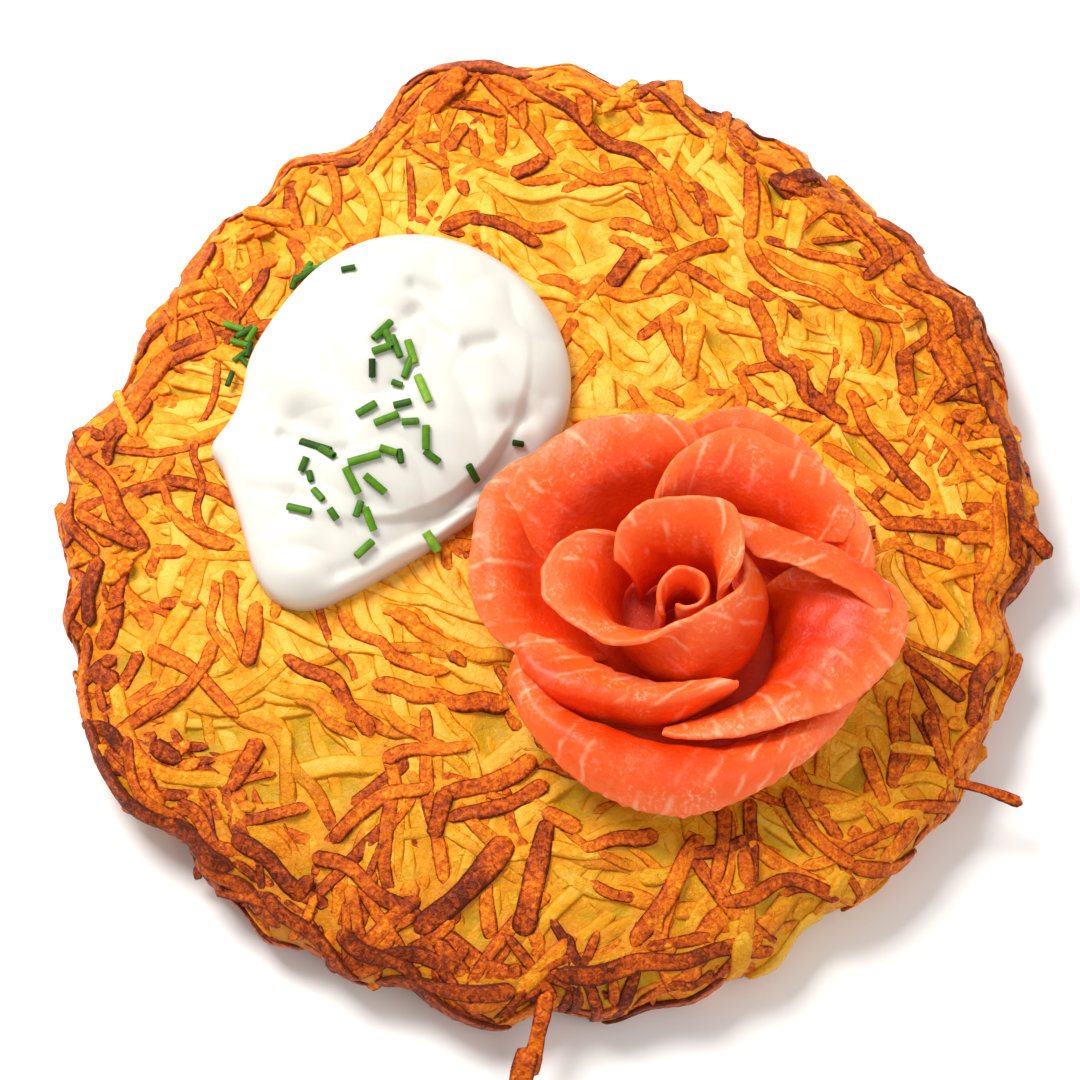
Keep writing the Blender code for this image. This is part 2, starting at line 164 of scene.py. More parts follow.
def smoothStep(value, low, high):
    share = np.clip((value - low) / (high - low), 0.0, 1.0)
    return share * share * (3 - 2 * share)


def bell(turn, middle, halfWidth):
    # 1 in a direction and falling off round it, in degrees
    off = (turn - middle + 180) % 360 - 180
    return np.exp(-0.5 * (off / halfWidth) ** 2)


def waves(where, seed, count, low, high):
    # a sum of sines of random direction and length: soft, repeatable unevenness of about -1 to 1
    chance = random.Random(seed)
    total = 0.0
    for _ in range(count):
        turn, length = chance.uniform(0, math.tau), chance.uniform(low, high)
        shift = chance.uniform(0, math.tau)
        along = where[0] * math.cos(turn) + where[1] * math.sin(turn)
        total = total + np.sin(along * math.tau / length + shift)
    return total / math.sqrt(count)


# the cake's plain form, the same as the frame's solid
cakeForm = {
    "halfWidth": 79.5 * mm,
    "halfDepth": 84.5 * mm,
    "crown": 18.5 * mm,
    "belly": 8.0 * mm,
    "undercut": 5.0 * mm,
    "swell": 0.4 * mm,
    "swellSpan": 14.0 * mm,
    # direction and half width in degrees, and how far out, of the outline's bumps and dents
    "bumps": (
        (2, 6, 1.0), (22, 5, 2.0), (52, 9, -3.2), (72, 5, 1.2), (82, 8, -1.6), (101, 5, 5.2), (114, 6, -3.0),
        (130, 11, -5.6), (158, 9, -5.4), (173, 5, 2.6), (213, 13, 3.0), (268, 14, 2.4), (314, 14, 1.0),
        (345, 7, -1.2),
    ),
    "ragged": ((9, 1.1, 0.6), (14, 0.2, 0.5), (23, 2.9, 0.6), (31, 4.4, 0.5), (38, 0.7, 0.4)),
    "inset": 0.35 * mm,  # how deep the shreds' average level lies under that form
    "domeSteps": 400,
    "bellySteps": 80,
}


def addBumps(radius, angle, bumps):
    for direction, halfWidth, height in bumps:
        radius = radius + height * mm * bell(np.degrees(angle), direction, halfWidth)
    return radius


def cakeRadius(angle):
    form = cakeForm
    radius = 1 / np.hypot(np.cos(angle) / form["halfWidth"], np.sin(angle) / form["halfDepth"])
    radius = addBumps(radius, angle, form["bumps"])
    for count, shift, height in form["ragged"]:
        radius = radius + height * mm * np.sin(count * angle + shift)
    return radius


def bedHeight(x, y):
    form = cakeForm
    share = np.minimum(1.0, np.hypot(x, y) / cakeRadius(np.arctan2(y, x)))
    dome = np.sqrt(1 - share**5)
    span = form["swellSpan"]
    swell = form["swell"] * np.sin(x / span + 0.8) * np.cos(y / span - 0.4)
    return form["belly"] + (form["crown"] - form["belly"]) * dome + swell * dome


def meridian():
    # length run over the cake from its middle out, against share of the radius, height and slope
    form, mean = cakeForm, 0.5 * (cakeForm["halfWidth"] + cakeForm["halfDepth"])
    share = np.sin(np.linspace(0, 1, form["domeSteps"]) * math.pi / 2)
    height = form["belly"] + (form["crown"] - form["belly"]) * np.sqrt(1 - share**5)
    turn = np.linspace(0, math.pi / 2, form["bellySteps"])[1:]
    share = np.append(share, 1 - form["undercut"] / mean * (1 - np.cos(turn)))
    height = np.append(height, form["belly"] * (1 - np.sin(turn)))
    run = np.append(0.0, np.cumsum(np.hypot(np.diff(share * mean), np.diff(height))))
    outward, upward = np.gradient(share * mean, run), np.gradient(height, run)
    return run, share, height, outward, upward


runLength, runShare, runHeight, runOut, runUp = meridian()
bellyRun = float(runLength[cakeForm["domeSteps"] - 1])  # out to the widest place, and on to where it stands
footRun = float(runLength[-1])


def onCake(x, y, lift):
    # a spot on the rolled-out skin of the cake, lifted off it, as a point in the frame and the skin's normal
    run, angle = np.hypot(x, y), np.arctan2(y, x)
    share, height = np.interp(run, runLength, runShare), np.interp(run, runLength, runHeight)
    outward, upward = np.interp(run, runLength, runOut), np.interp(run, runLength, runUp)
    size = np.hypot(outward, upward)
    normalOut, normalUp = -upward / size, outward / size
    radius = share * cakeRadius(angle)
    px, py = radius * np.cos(angle), radius * np.sin(angle)
    span, onTop = cakeForm["swellSpan"], np.clip(normalUp, 0, 1)
    height = height + cakeForm["swell"] * np.sin(px / span + 0.8) * np.cos(py / span - 0.4) * onTop
    normal = np.stack([normalOut * np.cos(angle), normalOut * np.sin(angle), normalUp], -1)
    point = np.stack([px, py, height], -1) + normal * np.asarray(lift)[..., None]
    point[..., 2] = np.maximum(point[..., 2], 0.15 * mm)
    return point, normal


browningForm = {
    "rim": 0.22,
    "darkerRim": ((0.32, 245, 48), (0.14, 0, 36)),  # how much more, in which direction and half width in degrees
    "rimFrom": 58 * mm,
    "front": 0.25,
    "frontReach": (6 * mm, 76 * mm),
    "spared": (304, 13),  # direction and half width in degrees of a stretch of the rim that stayed pale
    "sparedBy": 0.8,
    "sparedReach": (55 * mm, 80 * mm),
}


def browning(x, y):
    # how far the pan has browned a spot: the rim, and more and more towards the front
    form, run, turn = browningForm, np.hypot(x, y), np.degrees(np.arctan2(y, x))
    rim = form["rim"]
    for more, direction, halfWidth in form["darkerRim"]:
        rim = rim + more * bell(turn, direction, halfWidth)
    front = form["front"] * smoothStep(-y, *form["frontReach"])
    spared = form["sparedBy"] * bell(turn, *form["spared"]) * smoothStep(run, *form["sparedReach"])
    return (rim * smoothStep(run, form["rimFrom"], bellyRun + 2 * mm) + front) * (1 - spared)


# the olive tint towards the front: how far forward, how strongly, and up to which browning the shreds take part
oliveFrontForm = {"reach": (2 * mm, 58 * mm), "strength": 0.5, "paleShreds": (0.22, 0.42)}


def oliveTowardsFront(y):
    # towards the front the potato between the browned shreds turns an olive, greener yellow
    return smoothStep(-y, *oliveFrontForm["reach"])


def grainAcross(x, y):
    # the potato was pushed about in the pan: its strands tend to run where this stays the same
    return 0.8 * x + 0.5 * y + 17 * mm * waves((x, y), 31, 5, 65 * mm, 130 * mm)


def grainHeading(x, y):
    step = 1 * mm
    slopeX = grainAcross(x + step, y) - grainAcross(x - step, y)
    slopeY = grainAcross(x, y + step) - grainAcross(x, y - step)
    return math.atan2(slopeX, -slopeY)


# laying shreds: maps over the rolled-out skin of how high the shreds lie there and how brown the top one is
mapStep = 0.5 * mm
mapHalf = int(math.ceil((footRun + 4 * mm) / mapStep))
layers = np.zeros((2 * mapHalf + 1, 2 * mapHalf + 1))
tones = np.zeros_like(layers)


def readMap(field, x, y):
    u = np.clip(np.asarray(x) / mapStep + mapHalf, 0, 2 * mapHalf - 1.001)
    v = np.clip(np.asarray(y) / mapStep + mapHalf, 0, 2 * mapHalf - 1.001)
    i, j = u.astype(int), v.astype(int)
    u, v = u - i, v - j
    low = field[i, j] * (1 - u) + field[i + 1, j] * u
    high = field[i, j + 1] * (1 - u) + field[i + 1, j + 1] * u
    return low * (1 - v) + high * v


def soften(field, reach):
    # three box blurs in turn, close to a Gaussian of that reach
    cells = max(1, int(round(reach / mapStep)))
    for _ in range(3):
        for axis in (0, 1):
            padded = np.concatenate([np.repeat(np.take(field, [0], axis), cells + 1, axis), field,
                                     np.repeat(np.take(field, [-1], axis), cells, axis)], axis)
            total = np.cumsum(padded, axis)
            width = 2 * cells + 1
            upper = np.take(total, range(width, total.shape[axis]), axis)
            lower = np.take(total, range(0, total.shape[axis] - width), axis)
            field = (upper - lower) / width
    return field


def strand(chance, x, y, heading, length, curl):
    # a wandering path on the skin, through its middle
    count = max(5, int(length / pathStep) + 1)
    bend = chance.gauss(0, curl) / length
    wander = chance.uniform(0.5, 1.5) * chance.choice((-1, 1)) * curl * 0.5
    path = np.zeros((count, 2))
    for k in range(count):
        share = k / (count - 1) - 0.5
        turn = heading + bend * length * share * 2 + wander * math.sin(share * 5.5)
        if k:
            path[k] = path[k - 1] + (pathStep * math.cos(turn), pathStep * math.sin(turn))
    return path - path[count // 2] + (x, y)


def arcTo(x1, y1, x2, y2, bow):
    # a bowed path between two spots, given in millimetres
    length = math.hypot(x2 - x1, y2 - y1)
    share = np.linspace(0, 1, max(5, int(length * mm / pathStep) + 1))
    aside = 4 * bow * share * (1 - share)
    x = x1 + (x2 - x1) * share - (y2 - y1) / length * aside
    y = y1 + (y2 - y1) * share + (x2 - x1) / length * aside
    return np.stack([x, y], 1) * mm


def layShred(path, halfWidth, thick, sink, shade, stiff):
    # lets a shred settle on what lies there, adds it to the maps and gives the height of its middle
    ahead = np.gradient(path, axis=0)
    ahead /= np.maximum(np.hypot(ahead[:, :1], ahead[:, 1:]), 1e-9)
    side = np.stack([-ahead[:, 1], ahead[:, 0]], 1) * halfWidth[:, None]
    under = np.mean([readMap(layers, *(path + k * side).T) for k in (-0.6, 0.0, 0.6)], 0)
    reach = int(3 * stiff)
    weights = np.exp(-0.5 * (np.arange(-reach, reach + 1) / stiff) ** 2)
    padded = np.pad(under, reach, mode="edge")
    give = 0.8 / stiff
    under = give * under + (1 - give) * np.convolve(padded, weights / weights.sum(), "valid")
    lift = under - sink + thick / 2
    fine = np.linspace(0, len(path) - 1, int(len(path) * 4))
    whole = np.arange(len(path))
    fx, fy, fl, fw, fs = (np.interp(fine, whole, a) for a in (path[:, 0], path[:, 1], lift, halfWidth, shade))
    low = np.floor((np.array([fx.min(), fy.min()]) - fw.max()) / mapStep).astype(int) + mapHalf
    high = np.ceil((np.array([fx.max(), fy.max()]) + fw.max()) / mapStep).astype(int) + mapHalf
    low, high = np.clip(low, 0, 2 * mapHalf), np.clip(high, 0, 2 * mapHalf)
    i, j = np.mgrid[low[0]:high[0] + 1, low[1]:high[1] + 1]
    cx, cy = (i - mapHalf) * mapStep, (j - mapHalf) * mapStep
    apart = np.hypot(cx[..., None] - fx, cy[..., None] - fy) / fw
    near = apart.argmin(-1)
    share = np.take_along_axis(apart, near[..., None], -1)[..., 0]
    top = fl[near] + thick / 2 * np.sqrt(np.clip(1 - share**6, 0, 1))
    patch = layers[low[0]:high[0] + 1, low[1]:high[1] + 1]
    above = (share < 1) & (top > patch)
    patch[above] = top[above]
    tones[low[0]:high[0] + 1, low[1]:high[1] + 1][above] = fs[near][above]
    return lift


creamForm = {
    "middle": (-26.0 * mm, 14.0 * mm),
    "radius": 29.5 * mm,
    "outline": ((60, 40, 3.6), (100, 22, 1.6), (140, 28, -3.6), (172, 10, -2.2), (190, 4, 1.8), (243, 14, 8.8),
                (308, 30, -6.8)),
    "skirt": 4.6 * mm,
    "bulge": 0.45,
    "plainEdge": 0.85,  # share of the radius from which folds and lumps fade out
    "moundFall": 2.4,
    "bed": 1.2 * mm,  # how far the shreds under it lift it, and how far its foot sinks between them
    "sunk": 1.4 * mm,
    "edgeSunk": 0.2 * mm,
    "tuck": 0.96,
    "grain": 0.10 * mm,
    # x, y, radius and height of the mounds
    "mounds": ((3.0, 9.0, 28.0, 6.2), (-11.5, -19.0, 17.5, 2.6)),
    # start x and y, end x and y, half width and depth of the folds and dimples
    "dents": (
        (-15, -3.5, -11, -5.5, 3.0, 2.6), (-18, -5, -8, -9.5, 1.1, 1.6), (4, 20, 8, 19, 1.4, 1.6),
        (13, 9, 17, 10, 1.3, 1.5), (20, -3, 22, -2, 2.2, 1.9), (-2, 9, 4, 15, 1.6, 1.2), (4, 15, 9, 10, 1.4, 1.0),
        (-20, 16, -22, 4, 1.5, 1.3), (-26, -14, -14, -17, 1.4, 1.0), (-8, -30, -2, -28, 1.6, 1.0),
    ),
    # a lower layer peeps out along one side: middle and radius of the upper one's edge, how far down and where
    "ledge": {"middle": (-6 * mm, 8 * mm), "radius": 29 * mm, "drop": 2.4 * mm, "soft": 1.6 * mm,
              "turn": (308, 26)},
    "lumps": 0.85 * mm,
    "rings": 90,
    "sectors": 320,
}
roseLow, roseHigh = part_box("salmon_base")  # the flat slice lies evenly round the rose's middle
roseMiddle = (0.5 * (roseLow.x + roseHigh.x), 0.5 * (roseLow.y + roseHigh.y))


def creamRadius(angle):
    return addBumps(creamForm["radius"], angle, creamForm["outline"])


hiddenBy = {"cream": 7 * mm, "rose": 24 * mm}  # how far in from its edge, and how far out from its middle


def hiddenSpot(x, y):
    # well under the cream or the rose, where nothing of the cake shows
    cx, cy = x - creamForm["middle"][0], y - creamForm["middle"][1]
    inCream = math.hypot(cx, cy) < creamRadius(np.array(math.atan2(cy, cx))) - hiddenBy["cream"]
    return inCream or math.hypot(x - roseMiddle[0], y - roseMiddle[1]) < hiddenBy["rose"]


print("scene: frame loaded, laying the shreds")

pathStep = 1.6 * mm
shredKinds = {
    # count, length, half width and thickness in mm, how deep it sinks, how much it bends, how far it strays
    # from the grain, browning of its own, how that drifts along it, how strongly it takes the pan's browning
    # and how stiff it stays when it settles; keep: the share that is laid where the pan browns nothing and
    # how it grows with the browning
    "pale": {"count": 600, "length": (14, 40), "halfWidth": (1.2, 2.3), "thick": 1.2, "sink": 0.50, "curl": 0.3,
             "astray": 0.4, "brown": (0.02, 0.12), "drift": 0.02, "takes": 0.34, "stiff": 1.6, "seed": 11},
    "streaks": {"count": 230, "length": (18, 46), "halfWidth": (1.0, 1.9), "thick": 1.0, "sink": 0.42, "curl": 0.16,
                "astray": 0.3, "brown": (-0.05, 0.08), "drift": 0.02, "takes": 0.34, "stiff": 2.2, "seed": 19},
    "golden": {"count": 210, "length": (12, 34), "halfWidth": (0.8, 1.6), "thick": 1.1, "sink": 0.62, "curl": 0.22,
               "astray": 0.5, "brown": (0.10, 0.28), "drift": 0.09, "takes": 0.40, "stiff": 3.0, "seed": 23},
    "browned": {"count": 700, "length": (8, 30), "halfWidth": (0.6, 1.3), "thick": 1.0, "sink": 0.64, "curl": 0.25,
                "astray": 0.8, "brown": (0.34, 0.52), "drift": 0.09, "takes": 0.42, "stiff": 4.0, "seed": 37,
                "keep": (0.10, 1.35)},
    "rim": {"count": 300, "length": (12, 34), "halfWidth": (1.0, 1.9), "thick": 1.4, "sink": 0.70, "curl": 0.4,
            "astray": 0.5, "brown": (0.10, 0.42), "drift": 0.09, "takes": 0.42, "stiff": 2.2, "seed": 53},
    "under": {"count": 260, "length": (14, 34), "halfWidth": (1.8, 2.8), "depth": (0.35, 0.85), "curl": 0.4,
              "brown": (0.30, 0.60), "seed": 71},
    "byHand": {"thick": 1.1, "sink": 0.52, "paler": 0.14, "drift": 0.08, "stiff": 4.5, "seed": 5},
    "strays": {"arch": 1.2, "seed": 17},
    "ragged": {"count": 120, "length": (6, 14), "standOut": (-1.2, 1.0), "height": (3, 12), "halfWidth": (0.8, 1.6),
               "aside": 0.8, "brown": (0.12, 0.42), "drift": 0.08, "seed": 61},
}

# the shreds that catch the eye: start and end in mm, bow of the middle, width, browning
laidByHand = (
    (-5, 79, 18, 60, 1, 2.8, 0.6), (18, 60, 21, 50, 0, 2.4, 0.58), (10, 50, 20, 49, 0, 2.8, 0.56),
    (2, 61, 17, 58, 0, 2.8, 0.56), (-16, 71, -7, 70, 0, 2.0, 0.66), (-16, 62, -13, 67, 0, 2.4, 0.66),
    (-23, 67, -16, 59, 0, 2.0, 0.54), (-6, 58, 0, 63, 0, 2.8, 0.7), (-20, 56, -18, 51, 0, 2.0, 0.6),
    (-14, 56, -13, 53, 0, 2.2, 0.64), (-18, 50, 3, 50, -1, 2.4, 0.6), (-13, 49, -1, 46, 0, 2.4, 0.66),
    (-47, 53, -48, 35, 4, 2.5, 0.56), (-37, 50, -29, 47, 0, 2.4, 0.56), (24, 60, 28, 50, 1, 2.4, 0.6),
    (15, 62, 25, 58, 0, 2.0, 0.5), (20, 61, 26, 52, 0, 2.6, 0.44), (35, 65, 35, 50, 0, 2.7, 0.62),
    (35, 50, 51, 37, -3, 2.7, 0.6), (31, 49, 16, 38, -2, 2.9, 0.56), (15, 46, 10, 38, 0, 3.2, 0.64),
    (9, 40, 3, 34, 0, 2.2, 0.52), (24, 37, 15, 30, 0, 2.2, 0.52), (35, 42, 43, 34, 0, 2.2, 0.62),
    (36, 39, 51, 15, -4, 3.0, 0.6), (41, 27, 44, 18, 0, 1.6, 0.62), (48, 29, 48, 18, 0, 1.3, 0.66),
    (53, 33, 54, 25, 0, 1.8, 0.56), (61, 29, 61, 20, 0, 3.2, 0.58), (60, 20, 63, 17, 0, 2.6, 0.62),
    (51, 21, 64, 1, -1, 2.8, 0.62), (69, 17, 64, 7, 0, 2.4, 0.6), (73, 18, 66, 5, 0, 2.2, 0.56),
    (26, 34, 24, 22, 0, 3.0, 0.54), (22, 33, 23, 26, 0, 1.8, 0.6), (33, 26, 34, 18, 0, 1.7, 0.6),
    (9, 27, 3, 18, 0, 1.8, 0.42), (14, 21, 17, 16, 0, 1.8, 0.58), (18, 21, 23, 17, 0, 1.8, 0.58),
    (62, 45, 72, 32, 1, 3.0, 0.66), (72, 33, 77, 20, 0, 3.0, 0.7), (77, 22, 80, 5, 0, 3.2, 0.7),
    (79, 6, 80, -9, 0, 3.0, 0.68), (56, -4, 74, -4, 0, 2.8, 0.6), (59, -8, 71, -11, 0, 2.2, 0.56),
    (60, -28, 70, -35, 0, 2.8, 0.62), (77, -26, 70, -39, 0, 3.2, 0.68), (57, -35, 56, -50, 0, 2.6, 0.6),
    (60, -32, 57, -46, 0, 2.2, 0.62), (51, -43, 55, -53, 0, 2.6, 0.58), (63, -37, 65, -46, 0, 2.4, 0.56),
    (38, -50, 49, -62, -2, 2.8, 0.62), (48, -62, 62, -60, -1, 2.8, 0.62), (33, -53, 32, -65, 0, 2.4, 0.6),
    (-2, -43, -17, -51, 1, 3.4, 0.64), (-16, -50, -18, -58, 0, 3.0, 0.62), (0, -48, -16, -55, 0, 2.8, 0.62),
    (-12, -43, -26, -45, -1, 2.4, 0.62), (-18, -49, -34, -58, -2, 2.8, 0.64), (-49, -55, -38, -53, 0, 2.2, 0.68),
    (-47, -42, -52, -51, 0, 3.0, 0.62), (-28, -32, -6, -35, -1, 3.2, 0.6), (-42, -27, -28, -41, 1, 2.8, 0.6),
    (-16, -27, -13, -29, 0, 2.2, 0.72), (-54, -13, -48, -29, 0, 2.4, 0.6), (-47, -18, -48, -29, 0, 2.8, 0.56),
    (-65, -25, -49, -37, 1, 2.8, 0.58), (-77, -9, -78, -21, 0, 3.0, 0.66), (-72, -11, -75, -25, 0, 3.2, 0.62),
    (-76, -27, -70, -31, 0, 3.6, 0.7), (-77, -30, -71, -26, 0, 2.6, 0.68), (-67, -7, -67, -13, 0, 2.0, 0.6),
    (-66, -18, -58, -18, 0, 2.2, 0.6), (-63, -2, -53, -8, -2, 2.4, 0.6), (-80, 9, -69, -9, 1, 3.4, 0.68),
    (-80, 0, -70, -8, 0, 2.4, 0.66), (-63, -41, -58, -44, 0, 3.2, 0.78), (-75, -36, -50, -62, -4, 3.4, 0.72),
    (-50, -57, -35, -69, 0, 3.0, 0.68), (-57, -60, -42, -71, 0, 3.0, 0.7), (-37, -60, -20, -71, 1, 2.8, 0.66),
    (-6, -56, -21, -73, 1, 4.2, 0.66), (0, -54, -4, -72, 0, 3.8, 0.62), (-1, -53, 5, -55, 0, 3.0, 0.6),
    (5, -58, 17, -56, 0, 2.6, 0.62), (24, -57, 13, -74, 0, 3.2, 0.5), (28, -53, 26, -65, 0, 2.6, 0.56),
    (1, -79, 36, -75, 1, 3.0, 0.64), (12, -88, 29, -81, 0, 3.2, 0.66), (9, -90, 24, -86, 0, 2.8, 0.64),
    (-22, -81, -6, -88, 0, 3.0, 0.68), (-28, -81, -5, -80, 0, 3.0, 0.7), (-54, -72, -37, -81, -1, 3.2, 0.76),
    (-38, -80, -18, -89, 0, 3.0, 0.74), (-28, -76, -13, -77, 0, 2.8, 0.7), (27, -68, 47, -68, 2, 2.6, 0.62),
    (-62, -62, -45, -75, 0, 2.8, 0.76), (-45, -66, -30, -80, 0, 2.6, 0.76), (-33, -72, -20, -80, 0, 2.8, 0.72),
    (48, -73, 34, -83, -1, 5.0, 0.0),
)

# ends that stand out over the outline: start and end in mm, width, browning
strays = (
    (64, -47, 11, 77.5, -50.5, 9, 1.8, 0.7), (0, -84, 12, -3, -96, 5, 2.8, 0.6), (-3, -92, 8, -5, -99, 3.5, 3.8, 0.7),
    (77, -1, 12, 83.5, -7, 10, 3, 0.52), (-15, 80, 15, -21, 74, 14, 4, 0.4), (-19, 78, 13, -14, 82.5, 14, 3.2, 0.3),
    (40, 60, 15, 46, 63.5, 12, 2.8, 0.66), (38, 62, 15, 43, 56, 13, 3, 0.72), (39, 60, 15.5, 46, 58, 13, 2.4, 0.56),
    (-78, 16, 12, -76.5, 8, 11, 3, 0.6),
)


def shredWidths(chance, count, halfWidth):
    uneven = 0.07 * np.sin(np.linspace(-1, 1, count) * chance.uniform(2, 6) + chance.uniform(0, 6))
    narrowing = chance.uniform(-0.18, 0.18) * np.linspace(-1, 1, count)
    return halfWidth * (1 + uneven + narrowing)


def shades(chance, path, base, spread, takes=0.42):
    # some of a shred stayed paler where the fat didn't reach it
    along = np.arange(len(path)) * pathStep
    drift = np.sin(along / (chance.uniform(2.5, 6) * mm) + chance.uniform(0, 6))
    return np.minimum(base + spread * drift + takes * browning(*path.T), 0.80)


def scatterShreds(kind):
    form = shredKinds[kind]
    chance = random.Random(form["seed"])
    laid = []
    for _ in range(form["count"]):
        turn = chance.uniform(0, math.tau)
        if kind == "rim":
            run = chance.uniform(bellyRun - 12 * mm, footRun - 2 * mm)
        else:
            run = math.sqrt(chance.random()) * (footRun - 3 * mm if kind == "pale" else bellyRun)
        x, y = run * math.cos(turn), run * math.sin(turn)
        along = turn + math.pi / 2 if run > 0.9 * bellyRun else grainHeading(x, y)
        along += chance.gauss(0, form["astray"]) + chance.choice((0, 0, 0, 0, 1.2))
        path = strand(chance, x, y, along, chance.uniform(*form["length"]) * mm, form["curl"])
        half = shredWidths(chance, len(path), chance.uniform(*form["halfWidth"]) * mm)
        shade = shades(chance, path, chance.uniform(*form["brown"]), form["drift"], form["takes"])
        if "keep" in form and chance.random() > form["keep"][0] + form["keep"][1] * browning(x, y):
            continue
        if hiddenSpot(x, y):
            continue
        lift = layShred(path, half, form["thick"] * mm, form["sink"] * mm, shade, form["stiff"])
        laid.append((path, half, lift, shade, chance.random()))
    return laid


def layByHand():
    form, laid = shredKinds["byHand"], []
    chance = random.Random(form["seed"])
    for x1, y1, x2, y2, bow, width, base in laidByHand:
        path = arcTo(x1, y1, x2, y2, bow)
        half = shredWidths(chance, len(path), 0.5 * width * mm)
        shade = shades(chance, path, base - form["paler"], form["drift"])
        lift = layShred(path, half, form["thick"] * mm, form["sink"] * mm, shade, form["stiff"])
        laid.append((path, half, lift, shade, chance.random()))
    return laid


def layUnder():
    # the underside was pressed flat in the pan, so its shreds lie in one plane, some deeper than others
    form = shredKinds["under"]
    chance = random.Random(form["seed"])
    laid = []
    for _ in range(form["count"]):
        turn, out = chance.uniform(0, math.tau), math.sqrt(chance.random())
        reach = out * (cakeRadius(np.array(turn)) - cakeForm["undercut"] - 3 * mm)
        path = strand(chance, reach * math.cos(turn), reach * math.sin(turn), chance.uniform(0, math.tau),
                      chance.uniform(*form["length"]) * mm, form["curl"])
        half = shredWidths(chance, len(path), chance.uniform(*form["halfWidth"]) * mm)
        depth = chance.uniform(*form["depth"]) * mm
        edge = np.hypot(*path.T) / (cakeRadius(np.arctan2(path[:, 1], path[:, 0])) - cakeForm["undercut"])
        keep = edge < 1.0
        if keep.sum() < 4:
            continue
        path, half = path[keep], half[keep]
        points = np.column_stack([path, np.full(len(path), depth)])
        down = np.tile((0.0, 0.0, -1.0), (len(path), 1))
        laid.append((points, down, half, np.full(len(path), chance.uniform(*form["brown"])), chance.random()))
    return laid


def shredTree():
    # paths in, shreds out: a flat rounded profile swept along each path and roughened like a fried crust
    tree, add, given = startTree("shredsAlongPaths", ("Step", "Flatness", "Bluntness", "Crust", "Blister"),
                                 ("Corners",))
    strands = add("GeometryNodeMeshToCurve", {"Mesh": given["Geometry"]})
    eased = add("GeometryNodeCurveSplineType", {"Curve": strands}, spline_type="CATMULL_ROM")
    spaced = add("GeometryNodeResampleCurve", {"Curve": eased, "Length": given["Step"]}, mode="LENGTH")
    normal = add("GeometryNodeInputNamedAttribute", {"Name": "skinNormal"}, data_type="FLOAT_VECTOR")
    turned = add("GeometryNodeSetCurveNormal", {"Curve": spaced, "Normal": normal}, mode="FREE")
    # the width rounds off towards both ends
    width = add("GeometryNodeInputNamedAttribute", {"Name": "halfWidth"}, data_type="FLOAT")
    share = add("GeometryNodeSplineParameter")
    twice = add("ShaderNodeMath", {0: share, 1: 2.0, 2: -1.0}, operation="MULTIPLY_ADD")
    away = add("ShaderNodeMath", {0: twice}, operation="ABSOLUTE")
    steep = add("ShaderNodeMath", {0: away, 1: given["Bluntness"]}, operation="POWER")
    rest = add("ShaderNodeMath", {0: 1.04, 1: steep}, operation="SUBTRACT")
    blunt = add("ShaderNodeMath", {0: rest, 1: 0.5}, operation="POWER")
    tapered = add("ShaderNodeMath", {0: width, 1: blunt}, operation="MULTIPLY")
    tall = add("ShaderNodeMath", {0: given["Flatness"], 1: 2.0}, operation="MULTIPLY")
    plate = add("GeometryNodeCurvePrimitiveQuadrilateral", {"Width": tall, "Height": 2.0})
    rounded = add("GeometryNodeFilletCurve", {"Curve": plate, "Count": 4, "Radius": given["Flatness"]}, mode="POLY")
    flat = add("GeometryNodeResampleCurve", {"Curve": rounded, "Count": given["Corners"]})
    parts = add("ShaderNodeSeparateXYZ", {0: add("GeometryNodeInputPosition")})
    marked = add("GeometryNodeStoreNamedAttribute", {"Geometry": flat, "Name": "across", "Value": parts.outputs["Y"]},
                 data_type="FLOAT", domain="POINT")
    swept = add("GeometryNodeCurveToMesh", {"Curve": turned, "Profile Curve": marked, "Scale": tapered,
                                            "Fill Caps": True})
    blisters = add("ShaderNodeTexNoise", {"Scale": given["Blister"], "Detail": 2.0, "Roughness": 0.6})
    middle = add("ShaderNodeMath", {0: blisters, 1: 0.5}, operation="SUBTRACT")
    height = add("ShaderNodeMath", {0: middle, 1: given["Crust"]}, operation="MULTIPLY")
    shift = add("ShaderNodeVectorMath", {0: add("GeometryNodeInputNormal"), "Scale": height}, operation="SCALE")
    rough = add("GeometryNodeSetPosition", {"Geometry": swept, "Offset": shift})
    finishTree(add, rough, given["Finish"])
    return tree


pressed = {"lowest": 0.05, "spread": 0.2}  # mm over the floor


def sweepShreds(name, shreds, tree, look, material):
    points, normals, widths, browns = (np.concatenate([shred[k] for shred in shreds]) for k in range(4))
    ends = set(np.cumsum([len(shred[0]) for shred in shreds]).tolist())
    edges = [(k, k + 1) for k in range(len(points) - 1) if k + 1 not in ends]
    # pale shreds towards the front take the same olive tint
    stayedPale = 1 - smoothStep(browns, *oliveFrontForm["paleShreds"])
    mesh = bpy.data.meshes.new(name + "Paths")
    mesh.from_pydata(points.tolist(), edges, [])
    storeFields(mesh, {
        "skinNormal": normals, "halfWidth": widths, "brown": browns,
        "tone": np.concatenate([np.full(len(shred[0]), shred[4]) for shred in shreds]),
        "hollow": oliveFrontForm["strength"] * oliveTowardsFront(points[:, 1]) * stayedPale})
    piece = runTree(name, mesh, tree, look, material)
    # what would stand through the floor was pressed flat in the pan
    skin = piece.data
    place, level = np.empty(3 * len(skin.vertices), np.float32), np.empty(len(skin.vertices), np.float32)
    skin.vertices.foreach_get("co", place)
    skin.attributes["tone"].data.foreach_get("value", level)
    place[2::3] = np.maximum(place[2::3], (pressed["lowest"] + pressed["spread"] * level) * mm)
    skin.vertices.foreach_set("co", place)
    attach(piece, "root")
    print(f"scene: {name}, {len(shreds)} shreds, {len(piece.data.polygons)} faces")


